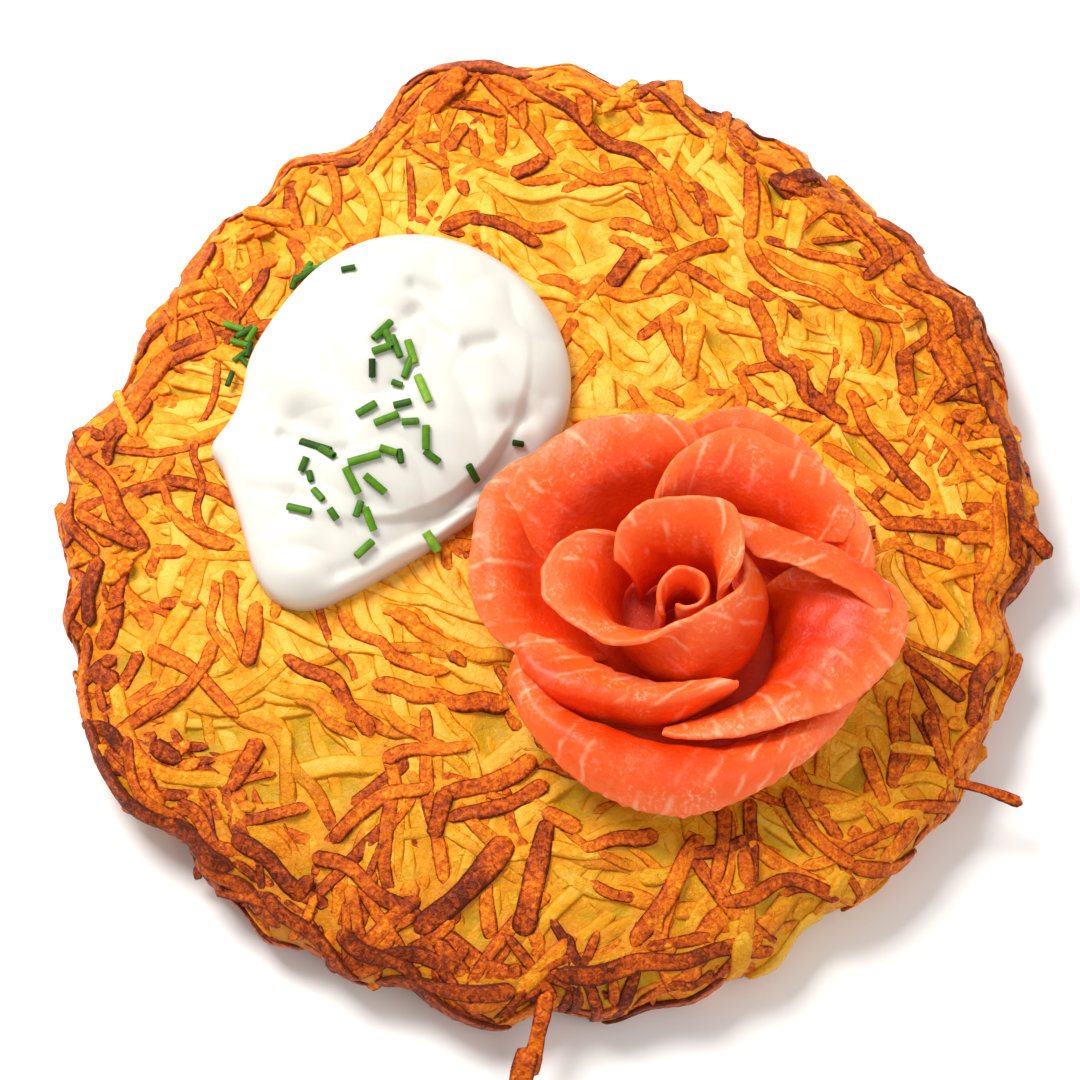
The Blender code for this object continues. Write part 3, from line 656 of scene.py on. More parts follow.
def friedPotato(name, speckle, depth):
    # fried potato: starchy and let through by light, a thin film of fat, mottled crust where it met the pan
    material, add = startMaterial(name)
    where = add("ShaderNodeTexCoord").outputs["Object"]
    brown, tone, across, hollow = (add("ShaderNodeAttribute", attribute_name=label).outputs["Fac"]
                                   for label in ("brown", "tone", "across", "hollow"))
    pits = add("ShaderNodeTexNoise", {"Vector": where, "Scale": 1 / (0.85 * mm), "Detail": 3.0,
                                      "Roughness": 0.6, "Distortion": 0.8})
    blotches, patches = (add("ShaderNodeTexNoise", {"Vector": where, "Scale": 1 / (size * mm), "Detail": 2.0})
                         for size in (2.6, 8))
    # the darker the crust, the more mottled
    mottle = add("ShaderNodeMapRange", {"Value": brown, "From Min": 0.05, "From Max": 0.5,
                                        "To Min": -0.35 * speckle, "To Max": -speckle})
    shade = brown
    for noise, middle, amount in ((pits, 0.52, mottle), (blotches, 0.5, 0.42), (patches, 0.5, 0.40)):
        off = add("ShaderNodeMath", {0: noise, 1: middle}, operation="SUBTRACT")
        shade = add("ShaderNodeMath", {0: off, 1: amount, 2: shade}, operation="MULTIPLY_ADD")
    # thin browned outline along both flanks of a shred
    flank = add("ShaderNodeMath", {0: across}, operation="ABSOLUTE")
    line = add("ShaderNodeMapRange", {"Value": flank, "From Min": 0.66, "From Max": 0.92})
    ink = add("ShaderNodeMapRange", {"Value": brown, "From Max": 0.5, "To Min": 0.16, "To Max": 0.34})
    edged = add("ShaderNodeMath", {0: line, 1: ink, 2: shade}, operation="MULTIPLY_ADD")
    varied = add("ShaderNodeMapRange", {"Value": tone, "To Min": -0.11, "To Max": 0.11})
    level = add("ShaderNodeMath", {0: edged, 1: varied}, operation="ADD")
    colour = add("ShaderNodeValToRGB", {"Fac": level}, stops=(
        (0.0, "#feba46"), (0.12, "#f8a41e"), (0.28, "#ec860a"), (0.44, "#db6a04"), (0.60, "#c25003"),
        (0.80, "#903203"), (1.0, "#5a1b02")))
    # olive mixed in by the hollow attribute: painted shade in the hollows between shreds, and the olive tint towards
    # the front
    olive = add("ShaderNodeMapRange", {"Value": hollow, "To Max": 0.85})
    mixed = add("ShaderNodeMix", {"Factor": olive, "A": colour, "B": linear("#b98f0c")}, data_type="RGBA")
    relief = add("ShaderNodeMath", {0: blotches, 1: 1.2, 2: pits}, operation="MULTIPLY_ADD")
    bump = add("ShaderNodeBump", {"Strength": 1.0, "Distance": depth, "Height": relief})
    return finishMaterial(material, {
        "Base Color": mixed, "Roughness": 0.42, "Specular IOR Level": 0.16, "Normal": bump,
        "Subsurface Weight": 0.12, "Subsurface Radius": (1.0, 0.5, 0.12), "Subsurface Scale": 1.5 * mm})


shredFinish = friedPotato("friedPotatoCrust", 1.25, 0.50 * mm)
paleFinish = friedPotato("friedPotatoPale", 0.9, 0.28 * mm)
massFinish = friedPotato("friedPotatoMass", 0.8, 0.32 * mm)

pale = scatterShreds("pale") + scatterShreds("streaks")
golden = scatterShreds("golden")
rimShreds = scatterShreds("rim")
browned = scatterShreds("browned")
byHand = layByHand()
print(f"scene: laid {len(pale)} pale, {len(golden)} golden, {len(browned) + len(byHand)} browned, "
      f"{len(rimShreds)} rim shreds, highest {layers.max() / mm:.1f} mm")

massForm = {
    "sectors": 600,
    "rings": 128,
    "crowding": 0.94,
    "underRings": 30,
    "underLift": 0.55 * mm,
    "grain": 0.08 * mm,
    "calmFoot": 0.6,
    "soft": 0.8 * mm,
    "sunk": 0.42 * mm,
    "wide": 3.5 * mm,
    "level": 9.0 * mm,
    "hollows": (0.65 * mm, 1.25 * mm),
}
levelMap = soften(layers, massForm["level"]) + cakeForm["inset"]
massMap = soften(layers, massForm["soft"]) - massForm["sunk"]
# how far a spot lies below the shreds round it: olive painted shade in the hollows between them
hollowShadeMap = smoothStep(soften(layers, massForm["wide"]) - massMap, *massForm["hollows"])
toneMap = soften(tones, massForm["soft"])


def placed(shreds):
    made = []
    for path, half, lift, shade, tone in shreds:
        place, normal = onCake(path[:, 0], path[:, 1], lift - readMap(levelMap, *path.T))
        made.append((place, normal, half, shade, tone))
    return made


endShares = np.linspace(0, 1, 8)[:, None]  # the points along an end that stands out


def placedStrays():
    form, made = shredKinds["strays"], []
    chance = random.Random(form["seed"])
    for x1, y1, z1, x2, y2, z2, width, shade in strays:
        start, end = np.array((x1, y1, z1)), np.array((x2, y2, z2))
        place = (start + (end - start) * endShares + (0, 0, form["arch"]) * np.sin(endShares * math.pi)) * mm
        normal = np.tile((0.0, 0.0, 1.0), (len(place), 1))
        half = shredWidths(chance, len(place), 0.5 * width * mm)
        made.append((place, normal, half, np.full(len(place), shade), chance.random()))
    return made


def raggedEnds():
    # all round the rim short ends of shreds stand out a little, at any height and slant
    form, made = shredKinds["ragged"], []
    chance = random.Random(form["seed"])
    for _ in range(form["count"]):
        turn = chance.uniform(0, math.tau)
        if bell(math.degrees(turn), *browningForm["spared"]) > 0.3:
            continue
        aim = turn + chance.gauss(0, form["aside"])
        out = float(cakeRadius(np.array(turn))) + chance.uniform(*form["standOut"]) * mm
        length = chance.uniform(*form["length"]) * mm
        end = np.array((out * math.cos(turn), out * math.sin(turn), chance.uniform(*form["height"]) * mm))
        start = end - (length * math.cos(aim), length * math.sin(aim), 0)
        start[2] = float(bedHeight(start[0], start[1])) - 0.3 * mm
        place = start + (end - start) * endShares ** (1, 1, 1.6)
        normal = np.tile((0.4 * math.cos(turn), 0.4 * math.sin(turn), 0.9), (len(place), 1))
        half = shredWidths(chance, len(place), chance.uniform(*form["halfWidth"]) * mm)
        shade = shades(chance, place[:, :2], chance.uniform(*form["brown"]), form["drift"])
        made.append((place, normal, half, shade, chance.random()))
    return made


tree = shredTree()
shredLooks = {
    "soft": {"Step": 2.0 * mm, "Flatness": 0.28, "Bluntness": 8.0, "Corners": 10, "Crust": 0.25 * mm,
             "Blister": 1 / (3 * mm)},
    "crusted": {"Step": 0.8 * mm, "Flatness": 0.32, "Bluntness": 12.0, "Corners": 14, "Crust": 0.42 * mm,
                "Blister": 1 / (1.1 * mm)},
    "rim": {"Step": 1.2 * mm, "Flatness": 0.36, "Bluntness": 10.0, "Corners": 12, "Crust": 0.6 * mm,
            "Blister": 1 / (2 * mm)},
}
soft = shredLooks["soft"]
sweepShreds("paleShreds", placed(pale), tree, soft, paleFinish)
sweepShreds("goldenShreds", placed(golden), tree, {**soft, "Step": 1.2 * mm, "Flatness": 0.36}, shredFinish)
sweepShreds("brownedShreds", placed(browned + byHand) + placedStrays() + raggedEnds(), tree,
            shredLooks["crusted"], shredFinish)
sweepShreds("rimShreds", placed(rimShreds), tree, shredLooks["rim"], shredFinish)
sweepShreds("undersideShreds", layUnder(), tree, {**soft, "Flatness": 0.25, "Crust": 0.3 * mm}, shredFinish)


def buildMass():
    # the fused potato between the shreds: one closed skin from the top's middle round to the underside's
    form, count = massForm, massForm["sectors"]
    turn = np.arange(count) / count * math.tau
    run = footRun * np.linspace(0, 1, form["rings"] + 1) ** form["crowding"]
    x, y = np.outer(run[1:], np.cos(turn)), np.outer(run[1:], np.sin(turn))
    lift = readMap(massMap - levelMap, x, y) + form["grain"] * waves((x, y), 9, 12, 2 * mm, 5 * mm)
    lift = lift * (1 - form["calmFoot"] * smoothStep(np.hypot(x, y), footRun - 8 * mm, footRun))
    top, _ = onCake(x, y, lift)
    # olive painted shade in the hollows between shreds, plus the olive tint towards the front
    hollow = np.clip(readMap(hollowShadeMap, x, y) + oliveFrontForm["strength"] * oliveTowardsFront(y), 0, 1)
    brown = 0.08 + 0.36 * browning(x, y) + 0.3 * np.clip(readMap(toneMap, x, y) - 0.15, 0, 1)
    share = np.linspace(1, 0, form["underRings"] + 1)[1:-1, None]
    ux, uy = top[-1, :, 0] * share, top[-1, :, 1] * share
    under = np.stack([ux, uy, form["underLift"] + 0.12 * mm * waves((ux, uy), 3, 7, 5 * mm, 14 * mm)], -1)
    middle, _ = onCake(np.zeros(1), np.zeros(1), readMap(massMap - levelMap, np.zeros(1), np.zeros(1)))
    points = np.concatenate([middle, top.reshape(-1, 3), under.reshape(-1, 3), [[0, 0, form["underLift"]]]])
    hollow = np.concatenate([[0], hollow.ravel(), np.zeros(ux.size + 1)])
    brown = np.concatenate([[0.1], brown.ravel(), np.full(ux.size + 1, 0.40)])
    faces = ringFaces(count, form["rings"] + len(share))
    return addMesh("potatoMass", points, faces, massFinish, {
        "hollow": hollow, "brown": brown, "tone": np.full(len(points), 0.5), "across": np.zeros(len(points))})


potatoMass = buildMass()
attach(potatoMass, "root")
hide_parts("rosti")
print(f"scene: potatoMass, {len(potatoMass.data.polygons)} faces")


def sourCream():
    # cultured cream: thick, white with a trace of yellow, light spreads in its fat, skin smooth and moist
    material, add = startMaterial("sourCream")
    where = add("ShaderNodeTexCoord").outputs["Object"]
    grain = add("ShaderNodeTexNoise", {"Vector": where, "Scale": 1 / (3.0 * mm), "Detail": 3.0})
    bump = add("ShaderNodeBump", {"Strength": 0.18, "Distance": 0.3 * mm, "Height": grain})
    return finishMaterial(material, {
        "Base Color": linear("#d8d5cb"), "Roughness": 0.34, "IOR": 1.38, "Normal": bump,
        "Subsurface Weight": 0.35, "Subsurface Radius": (1.0, 0.85, 0.65), "Subsurface Scale": 2.0 * mm})


def creamHeight(x, y):
    # thickness of the dollop over the cake, measured from its middle
    form = creamForm
    share = np.minimum(1.0, np.hypot(x, y) / creamRadius(np.arctan2(y, x)))
    thickness = form["skirt"] * np.clip(1 - share**6, 0, 1) ** form["bulge"]
    for mx, my, radius, height in form["mounds"]:
        apart = np.hypot(x - mx * mm, y - my * mm) / (radius * mm)
        thickness = thickness + height * mm * np.clip(1 - apart ** form["moundFall"], 0, 1)
    inside = 1 - smoothStep(share, form["plainEdge"], 1.0)
    for x1, y1, x2, y2, halfWidth, depth in form["dents"]:
        length = math.hypot(x2 - x1, y2 - y1)
        ux, uy = (x2 - x1) / length, (y2 - y1) / length
        along = np.clip((x / mm - x1) * ux + (y / mm - y1) * uy, 0, length)
        apart = np.hypot(x / mm - x1 - along * ux, y / mm - y1 - along * uy) / halfWidth
        thickness = thickness - depth * mm * inside * np.exp(-(apart**2))
    ledge = form["ledge"]
    dx, dy = x - ledge["middle"][0], y - ledge["middle"][1]
    beyond = smoothStep(np.hypot(dx, dy) - ledge["radius"], -0.5 * ledge["soft"], 0.5 * ledge["soft"])
    thickness = thickness - ledge["drop"] * beyond * inside * bell(np.degrees(np.arctan2(dy, dx)), *ledge["turn"])
    # soft lumps that meet in creases
    return thickness + form["lumps"] * inside * (np.abs(waves((x, y), 83, 7, 14 * mm, 30 * mm)) - 0.5)


def creamTop(x, y):
    # height of the cream's surface at a spot of the frame
    cx, cy = creamForm["middle"]
    return bedHeight(x, y) + creamForm["bed"] + creamHeight(x - cx, y - cy)


def buildCream():
    form, count = creamForm, creamForm["sectors"]
    turn = np.arange(count) / count * math.tau
    share = np.sin(np.linspace(0, 1, form["rings"] + 1)[1:, None] * math.pi / 2) ** 0.9
    reach = share * creamRadius(turn)
    x, y = reach * np.cos(turn), reach * np.sin(turn)
    cx, cy = form["middle"]
    top = creamTop(x + cx, y + cy) + form["grain"] * waves((x, y), 21, 9, 5 * mm, 12 * mm) * (1 - share**8)
    edge, tuck = bedHeight(x[-1] + cx, y[-1] + cy), form["tuck"]
    top[-1] = edge - form["edgeSunk"]
    rings = np.stack([x + cx, y + cy, top], -1)
    foot = np.stack([x[-1] * tuck + cx, y[-1] * tuck + cy, edge - form["sunk"]], -1)
    middle = np.array(cx), np.array(cy)
    points = np.concatenate([[[cx, cy, creamTop(*middle)]], rings.reshape(-1, 3), foot,
                             [[cx, cy, bedHeight(*middle) - form["sunk"]]]])
    return addMesh("creamDollop", points, ringFaces(count, form["rings"] + 1), sourCream())


creamDollop = buildCream()
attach(creamDollop, "root")
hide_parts("sour_cream")
print(f"scene: creamDollop, {len(creamDollop.data.polygons)} faces")


def through(values, knots, at):
    # smooth curves through values at knots, one for each row, read at the spots asked for
    span = np.diff(knots)
    slope = np.diff(values) / span
    inner = (slope[:, :-1] * span[:, 1:] + slope[:, 1:] * span[:, :-1]) / (span[:, :-1] + span[:, 1:])
    first, last = 1.5 * slope[:, :1] - 0.5 * inner[:, :1], 1.5 * slope[:, -1:] - 0.5 * inner[:, -1:]
    slope = np.concatenate([first, inner, last], 1)
    before = np.clip((at[:, :, None] >= knots[:, None, 1:-1]).sum(-1), 0, values.shape[1] - 2)
    start, wide, valueA, valueB, slopeA, slopeB = (np.take_along_axis(field, before + step, 1) for field, step in (
        (knots, 0), (span, 0), (values, 0), (values, 1), (slope, 0), (slope, 1)))
    share = (at - start) / wide
    rest = 1 - share
    fromValues = valueA * rest**2 * (1 + 2 * share) + valueB * share**2 * (1 + 2 * rest)
    return fromValues + wide * share * rest * (slopeA * rest - slopeB * share)


plainSlice = {"axis": (0, 0), "twist": 0, "thick": 1.9}  # where a slice doesn't say otherwise
sliceForms = {
    # each station across a slice: direction in degrees, then how far out its foot stands, then how far out
    # and how high its waist, crest and lip are, in mm from the rose's middle and the flat slice's top
    "salmonHeart": {"node": "salmon_heart", "axis": (-0.8, -0.8), "thick": 1.5, "stations": (
        (215, 4.5, 4.4, 5, 4.3, 10, 4.6, 13.6), (120, 4, 3.9, 5, 3.8, 10.5, 4.2, 14.4),
        (20, 3.5, 3.4, 5, 3.3, 10.5, 3.8, 14.2), (-80, 2.5, 2.4, 5, 2.3, 10, 2.4, 13.4),
        (-170, 1.3, 1.2, 5, 1.1, 9, 1.1, 12.2))},
    "salmonCupBack": {"node": "salmon_cup_back", "thick": 1.8, "stations": (
        (156, 9, 9.6, 5.5, 12.4, 11, 17.6, 15), (128, 8.6, 9, 6, 11.4, 13, 15.9, 17.8),
        (96, 7.8, 7.8, 7, 9.4, 14.5, 13.3, 19.3), (64, 7.4, 7.2, 7, 8.6, 15, 13.1, 19.2),
        (34, 7, 6.8, 7, 6.4, 15, 9.9, 19), (4, 6.8, 6.6, 7, 5, 14.5, 7.6, 18.2),
        (-22, 6.4, 6.4, 7, 4.6, 12.5, 4.8, 15.4))},
    "salmonCupFront": {"node": "salmon_cup_front", "stations": (
        (44, 10.8, 11.6, 6, 10.8, 12, 9.6, 14.5), (10, 10.8, 11.8, 6, 10.2, 12, 8.2, 16.6),
        (-30, 11, 11.8, 6, 8.6, 13, 6.4, 17.2), (-75, 11.4, 12.2, 5.5, 8, 13.5, 5.6, 17),
        (-110, 11.4, 12.2, 5, 7.6, 12.5, 7.8, 15.8), (-138, 11.2, 12.2, 4.5, 10.6, 11, 14.6, 14.3),
        (-165, 11.2, 12.6, 5, 15.4, 10, 20.6, 12.4), (-190, 11.6, 13.4, 5.5, 18.4, 10.5, 24.6, 12),
        (-208, 11.8, 13.8, 5.5, 17.6, 10.5, 21.4, 13), (-222, 11.6, 13, 5.5, 15.4, 11, 17.4, 14.2))},
    "salmonFrontLeft": {"node": "salmon_petal_front_left", "thick": 1.8, "stations": (
        (190, 24, 27, 3, 28.4, 5.6, 20, 4.6), (203, 25.6, 27.6, 3.4, 28, 6.8, 18.8, 5),
        (218, 24.6, 25.6, 4, 24.6, 8.2, 16.4, 5.6), (236, 21.4, 21.8, 4.5, 20.4, 8.6, 14.6, 5.8),
        (256, 18.6, 19, 4.5, 17.6, 8.8, 13.8, 6.4), (278, 15.4, 16, 4.5, 15.8, 9.2, 13.6, 7.8),
        (298, 14.2, 15, 4.5, 16, 9.6, 14.4, 9.4))},
    "salmonRight": {"node": "salmon_petal_right", "stations": (
        (258, 19.2, 20.8, 3.6, 22.4, 5.8, 24, 6.4), (284, 17.2, 19.4, 4.6, 21.8, 6.8, 24.4, 7.4),
        (310, 16.8, 19.2, 4.6, 22.6, 7.4, 26.8, 7.6), (330, 15.4, 18.8, 4.4, 25.2, 7.8, 31.8, 7.4),
        (346, 14.4, 18.6, 4.4, 28, 8.8, 35.4, 7.8), (358, 14, 18, 4.2, 27.8, 8.6, 34.8, 8.4),
        (368, 13.8, 17.4, 3.8, 25, 7.8, 31.4, 8.4), (384, 13.4, 14.6, 2.8, 17.5, 5, 20, 6.2))},
    "salmonHem": {"node": "salmon_petal_hem", "thick": 1.7, "twist": -7, "stations": (
        (-4, 25, 28.4, 3.4, 33.4, 7.2, 29, 8.9), (10, 22.4, 26.4, 5.4, 30.4, 11, 24.4, 11.6),
        (20, 18.4, 21.6, 6.5, 24.4, 12.6, 17, 12.4), (34, 16, 17.6, 7.5, 19, 13.6, 12.8, 12.6),
        (50, 14.6, 15.4, 7.5, 15.8, 14, 12, 13.8), (68, 14, 14.6, 7, 15, 13.4, 13.2, 14.6))},
    "salmonFold": {"node": "salmon_petal_fold", "thick": 1.8, "twist": -22, "stations": (
        (124, 14, 14.6, 7.5, 17, 13.6, 22.4, 14.4), (104, 14.4, 16, 7.5, 20.4, 13, 27.4, 14.8),
        (84, 15.4, 17.4, 7.5, 22.8, 12, 29.8, 13.4), (62, 17.4, 20, 6.2, 25, 9.8, 31.4, 11.6),
        (40, 19, 22, 4.2, 26.5, 6.4, 31, 8.2))},
    "salmonBackLeft": {"node": "salmon_petal_back_left", "stations": (
        (162, 17.6, 22, 1.6, 28, 2.6, 33, 4.6), (146, 17.6, 22, 3.4, 28.6, 6.6, 35.8, 8.4),
        (128, 17.6, 22, 5.2, 28, 10.6, 35.6, 11.2), (106, 17.4, 21.6, 5.5, 27, 11, 32.8, 12.6),
        (85, 17.4, 21.2, 5.6, 26.4, 11.4, 31.4, 13.8))},
    "salmonLeft": {"node": "salmon_petal_left", "stations": (
        (206, 15, 18.5, 2, 22.5, 3.6, 24.6, 3.2), (192, 16.5, 22, 3, 28.2, 5.6, 31.2, 5),
        (178, 18, 24.6, 3.4, 31, 7.2, 34.8, 5.8), (164, 19.5, 26.6, 3.6, 33, 8, 37.4, 6.8),
        (148, 21, 28, 3.4, 34.4, 7.2, 38.8, 7), (132, 21, 28, 3, 33, 6.6, 36.6, 6.8),
        (118, 21, 27, 2.8, 29.5, 6, 31.6, 6.4))},
    "salmonBackRight": {"node": "salmon_petal_back_right", "stations": (
        (92, 20.6, 24.8, 4.4, 29.8, 9.2, 32.6, 11.2), (72, 20.4, 24, 4.6, 28.6, 10, 33.6, 12.4),
        (52, 20.6, 24.4, 4.6, 28.4, 9.6, 33, 11.2), (34, 21, 25, 4.2, 28.6, 8.6, 31.6, 9.2),
        (12, 24, 27.4, 3.8, 30.6, 7, 33, 7.6))},
    "salmonFront": {"node": "salmon_petal_front", "stations": (
        (193, 24, 25.6, 3, 28, 4.2, 29.6, 2.6), (204, 25, 26.8, 3.6, 30, 5, 31.6, 2.4),
        (216, 26.6, 27.6, 4, 30.6, 6.8, 32.8, 3), (238, 24.8, 25.2, 4.8, 29.8, 8.2, 34.8, 3),
        (258, 23.8, 24.4, 4.6, 29, 7.9, 34.8, 3), (278, 23.4, 24, 3.6, 28.2, 6.4, 33, 2.8),
        (304, 24.4, 25, 2.8, 28.4, 5.2, 31.8, 2.6), (340, 26, 26.8, 2.4, 29.6, 4, 32.4, 2.2))},
}
salmonLook = {
    "footLift": 3.2 * mm,  # the flat slice and what keeps it off the cake
    "grid": 0.55 * mm,
    "samples": (60, 30),  # along and across a slice, to measure it
    "lengthRow": -8,  # the row of points on which its length is measured, a little under the lip
    "rimShare": 0.6,  # thickness near the cut edges over that of the middle
    "lowerEnds": 0.25,  # how much of its height a slice loses towards its two ends
    "thinning": 6.0 * mm,
    "rounding": 0.6 * mm,
    "ragged": 0.5 * mm,
    "nicks": 0.12 * mm,
    "ripple": 0.16 * mm,
    "edgeRows": (0.0, 0.04, 0.15, 0.35, 0.6, 1.0),  # mm from an edge
}


def sliceSurface(form, u, v):
    # the middle of a slice: u runs along it, v from its foot out to its lip
    stations = np.array(form["stations"], float).T
    last = stations.shape[1] - 1
    knots = np.tile(np.arange(last + 1.0), (8, 1))
    way, *sizes = through(stations, knots, np.tile(u * last, (8, 1)))
    outs = np.stack([sizes[0], sizes[1], sizes[3], sizes[5]], 1)
    ups = np.stack([0 * way, sizes[2], sizes[4], sizes[6]], 1)
    gaps = np.cumsum(np.sqrt(np.hypot(np.diff(outs), np.diff(ups))), 1)
    knots = np.concatenate([np.zeros((len(u), 1)), gaps], 1)
    v = v * (1 - salmonLook["lowerEnds"] * np.abs(2 * u - 1)[:, None] ** 6)
    out, up = through(outs, knots, v * knots[:, -1:]) * mm, through(ups, knots, v * knots[:, -1:]) * mm
    turn, start = np.radians(way[:, None] + form["twist"] * v), np.radians(way)
    cx, cy = roseMiddle[0] + form["axis"][0] * mm, roseMiddle[1] + form["axis"][1] * mm
    foot = outs[:, 0] * mm
    seat = bedHeight(cx + foot * np.cos(start), cy + foot * np.sin(start)) + salmonLook["footLift"]
    return np.stack([cx + out * np.cos(turn), cy + out * np.sin(turn), seat[:, None] + up], -1)


def spread(length):
    # shares along a length, close together by both ends where the edge is rounded off
    edge = np.array(salmonLook["edgeRows"]) * mm
    inner = np.linspace(edge[-1], length - edge[-1], max(3, int(length / salmonLook["grid"])))[1:-1]
    return np.concatenate([edge, inner, length - edge[::-1]]) / length


def runOf(points, axis):
    # length run over a grid of points along one axis
    steps = np.linalg.norm(np.diff(points, axis=axis), axis=-1)
    return np.concatenate([np.zeros_like(np.take(steps, [0], axis)), np.cumsum(steps, axis)], axis)


def gridNormals(points):
    cross = np.cross(np.gradient(points, axis=0), np.gradient(points, axis=1))
    return cross / np.maximum(np.linalg.norm(cross, axis=-1, keepdims=True), 1e-12)


def turnOutward(piece):
    # flips a closed piece that came out inside out
    points = np.array([v.co for v in piece.data.vertices])
    volume = sum(points[p.vertices[0]] @ np.cross(points[p.vertices[k]], points[p.vertices[k + 1]])
                 for p in piece.data.polygons for k in range(1, len(p.vertices) - 1))
    if volume < 0:
        piece.data.flip_normals()


def buildSlice(name, form, material, seed):
    look, row = salmonLook, salmonLook["lengthRow"]
    chance = random.Random(seed)
    long, tall = (np.linspace(0, 1, count) for count in look["samples"])
    rough = sliceSurface(form, long, np.tile(tall, (len(long), 1)))
    along, up = runOf(rough, 0), runOf(rough, 1)
    high = float(up[:, -1].mean())
    u = np.interp(spread(along[-1, row]), along[:, row] / along[-1, row], long)
    v = np.interp(spread(high), up[len(long) // 2] / up[len(long) // 2, -1], tall)
    run = runOf(sliceSurface(form, u, np.tile(v, (len(u), 1))), 0)[:, row]
    cut = look["ragged"] * waves((run, 0 * run), seed + 50, 9, 9 * mm, 28 * mm)
    cut = (cut + look["nicks"] * waves((run, 0 * run), seed + 90, 12, 1.6 * mm, 5 * mm)) / high
    middle = sliceSurface(form, u, v * (1 + cut[:, None] * v**2))
    normal = gridNormals(middle)
    where = (middle[..., 0] + 0.8 * middle[..., 2], middle[..., 1] - 0.6 * middle[..., 2])
    middle = middle + normal * (look["ripple"] * waves(where, seed, 9, 4 * mm, 12 * mm))[..., None]
    along, up = runOf(middle, 0), runOf(middle, 1)
    fromLip = up[:, -1:] - up
    inward = np.minimum(np.minimum(fromLip, up), np.minimum(along, along[-1:] - along))
    thin = look["rimShare"]
    half = 0.5 * form["thick"] * mm * (thin + (1 - thin) * smoothStep(inward, 0, look["thinning"]))
    half = half * np.sqrt(1 - (1 - np.clip(inward / look["rounding"], 0, 1)) ** 2)
    front, back = middle + normal * half[..., None], middle - normal * half[..., None]
    ahead = np.arange(up.size).reshape(up.shape)
    inside = np.zeros(up.shape, bool)
    inside[1:-1, 1:-1] = True
    behind = ahead.copy()
    behind[inside] = up.size + np.arange(inside.sum())
    faces = []
    for grid, order in ((ahead, 1), (behind, -1)):
        ring = np.stack([grid[:-1, :-1], grid[1:, :-1], grid[1:, 1:], grid[:-1, 1:]], -1).reshape(-1, 4)
        faces += ring[:, ::order].tolist()
    along = along + chance.uniform(0, 40 * mm)
    fields = {label: np.concatenate([field.ravel(), field[inside]]) / mm
              for label, field in (("lipAway", fromLip), ("along", along))}
    piece = addMesh(name, np.concatenate([front.reshape(-1, 3), back[inside]]), faces, material, fields)
    turnOutward(piece)
    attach(piece, "root")
    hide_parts(form["node"])
    return piece


